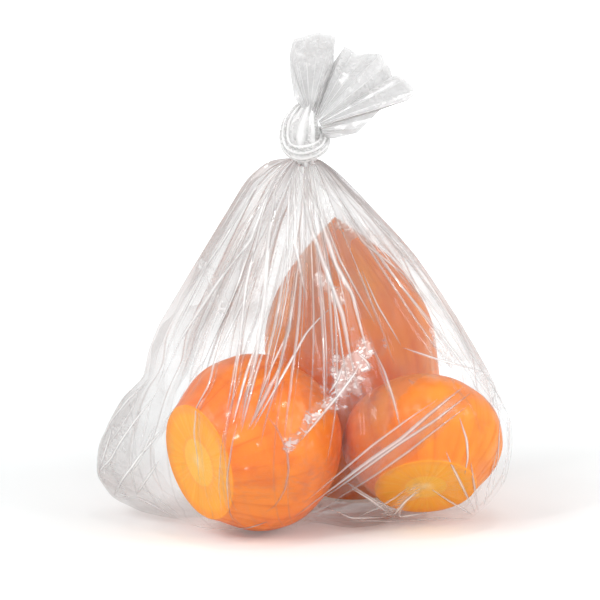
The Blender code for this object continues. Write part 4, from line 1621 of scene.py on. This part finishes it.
@dataclass(frozen=True)
class Studio:
    """A white floor and room, broad soft light, and small lamps whose glints show on the film."""

    floor_size: float = 6.0
    floor_drop: float = 0.15 * MM
    floor_colour: tuple[float, float, float] = (0.84, 0.865, 0.87)
    ambient: float = 0.62
    painted_shade_reach: float = 0.12
    near_glow_painted_shade: float = 0.135
    far_glow: float = 0.5

    def seen(self, nodes: Nodes) -> bpy.types.NodeSocket:
        """1 for rays that see the background, directly, in gloss or through glass."""
        path = nodes.add("ShaderNodeLightPath", {})
        seen = nodes.math(Blend.MAXIMUM, path.outputs["Is Camera Ray"], path.outputs["Is Glossy Ray"])
        return nodes.math(Blend.MAXIMUM, seen, path.outputs["Is Transmission Ray"])

    def world(self) -> None:
        """The white room, which gives the even part of the light."""
        world = bpy.data.worlds.new("white_room")
        bpy.context.scene.world = world
        world.use_nodes = True
        nodes = Nodes(world.node_tree)
        background = world.node_tree.nodes["Background"]
        level = nodes.ramp(self.seen(nodes), 0.0, 1.0, self.ambient, 1.0)
        background.inputs["Color"].default_value = (1.0, 1.0, 1.0, 1.0)
        nodes.put(background.inputs["Strength"], level)

    def floor(self) -> None:
        """The floor: white, with the bag's soft shadow, and painted shade near the bag, where the floor glows less
        for the camera.
        """
        finish, nodes, shader = new_material("white_floor")
        shader.inputs["Base Color"].default_value = (*self.floor_colour, 1.0)
        shader.inputs["Roughness"].default_value = 0.9
        shader.inputs["Specular IOR Level"].default_value = 0.0
        shader.inputs["Emission Color"].default_value = (1.0, 1.0, 1.0, 1.0)
        # Painted shade: the floor glows less near the bag than far from it, so it is a little darker round the bag;
        # this also lets the real shadow show.
        place = nodes.add("ShaderNodeNewGeometry", {}).outputs["Position"]
        away = nodes.add("ShaderNodeVectorMath", {"operation": "LENGTH"}, i0=place).outputs["Value"]
        level = nodes.ramp(away, self.painted_shade_reach, self.painted_shade_reach * 3.0, self.near_glow_painted_shade, self.far_glow)
        glow = nodes.math(Blend.MULTIPLY, self.seen(nodes), level)
        nodes.put(shader.inputs["Emission Strength"], glow)
        half = self.floor_size / 2
        corners = [(-half, -half), (half, -half), (half, half), (-half, half)]
        mesh = bpy.data.meshes.new("floor")
        mesh.from_pydata([(x, y, -self.floor_drop) for x, y in corners], [], [(0, 1, 2, 3)])
        mesh.materials.append(finish)
        floor = bpy.data.objects.new("floor", mesh)
        bpy.context.scene.collection.objects.link(floor)

    def build(self, target: Vector) -> None:
        """Make the room, the floor and the lamps.

        Args:
            target: What the lamps look at.
        """
        self.world()
        self.floor()
        for lamp in LAMPS:
            lamp.build(target)


def neck_of(node: bpy.types.Object, height: float) -> Vector:
    """The middle of the film's neck.

    Args:
        node: The film's solid.
        height: The height at which the neck starts.

    Returns:
        The middle of the ring of points at that height.
    """
    near = [v.co for v in node.data.vertices if abs(v.co.z - height) < 0.02 * MM]
    low = Vector([min(spot[i] for spot in near) for i in range(3)])
    high = Vector([max(spot[i] for spot in near) for i in range(3)])
    return (low + high) / 2


def placed(piece: bpy.types.Object, slot: Slot, node: str) -> bpy.types.Object:
    """Put a piece on its body, in place of its solid.

    Args:
        piece: The piece.
        slot: Not used.
        node: The solid that it stands for.

    Returns:
        The piece.
    """
    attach(piece, BODY)
    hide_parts(node)
    return piece


def main() -> None:
    """Build the bag, its contents and the studio."""
    logging.basicConfig(level=logging.INFO, format="%(message)s")
    for thing in list(bpy.data.objects):
        bpy.data.objects.remove(thing, do_unlink=True)
    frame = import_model()
    film_node = frame["nodes"][FILM_NODE]
    body = FilmBody()
    neck = neck_of(film_node, body.neck_height)
    viewpoint = Viewpoint(neck)
    viewpoint.build()
    LOG.info("neck at %s", [round(value / MM, 2) for value in neck])

    peel = CarrotFinish().made()
    pale_peel = CarrotFinish(
        "pale_peeled_carrot", deep=(0.76, 0.130, 0.008), body=(0.92, 0.215, 0.008), pale=(0.98, 0.31, 0.012)
    ).made()
    carrots = None
    for carrot in (LEFT, RIGHT, BACK):
        sheet = carrot.mesh(frame["nodes"][carrot.node])
        placed(sheet.built(carrot.name, peel if carrot is LEFT else pale_peel), Slot.CARROT, carrot.node)
        carrots = sheet if carrots is None else carrots.joined(sheet)

    spots = [vertex.co for vertex in film_node.data.vertices]
    film_tree = BVHTree.FromPolygons(spots, [tuple(face.vertices) for face in film_node.data.polygons])
    grid = body.grid(film_tree, carrots.tree(), neck)
    body.crumple(grid, CRUMPLED, viewpoint)
    film = body.mesh(grid)
    folds = PressedFolds(film, grid, viewpoint)
    folds.from_photograph(SEEN_FOLDS, film.tree())
    folds.scattered(SCATTERED_FOLDS)
    for part in folds.parts:
        film = film.joined(part)
    clear = FilmFinish("clear_film", gather=0.25, gather_density=0.08, low_clearness=0.4)
    placed(film.built("film_body", clear.made()), Slot.FILM, FILM_NODE)

    gathered = FilmFinish(
        "gathered_film", density=0.5, cloudiness=0.35, rim=0.2, fineness=1.6, tint=(0.86, 0.85, 0.845)
    )
    placed(Knot(viewpoint).mesh().built("film_knot", gathered.made()), Slot.FILM, FILM_NODE)
    mouth = FilmFinish("mouth_film", density=0.60, cloudiness=0.34, fineness=0.8, tint=(0.60, 0.59, 0.59))
    placed(Ruffle(viewpoint).mesh().built("film_ruffle", mouth.made()), Slot.FILM, FILM_NODE)

    Studio().build(Vector((neck.x, neck.y, LIT_HEIGHT)))
    bpy.context.scene.view_settings.view_transform = "Standard"


if __name__ == "__main__":
    main()
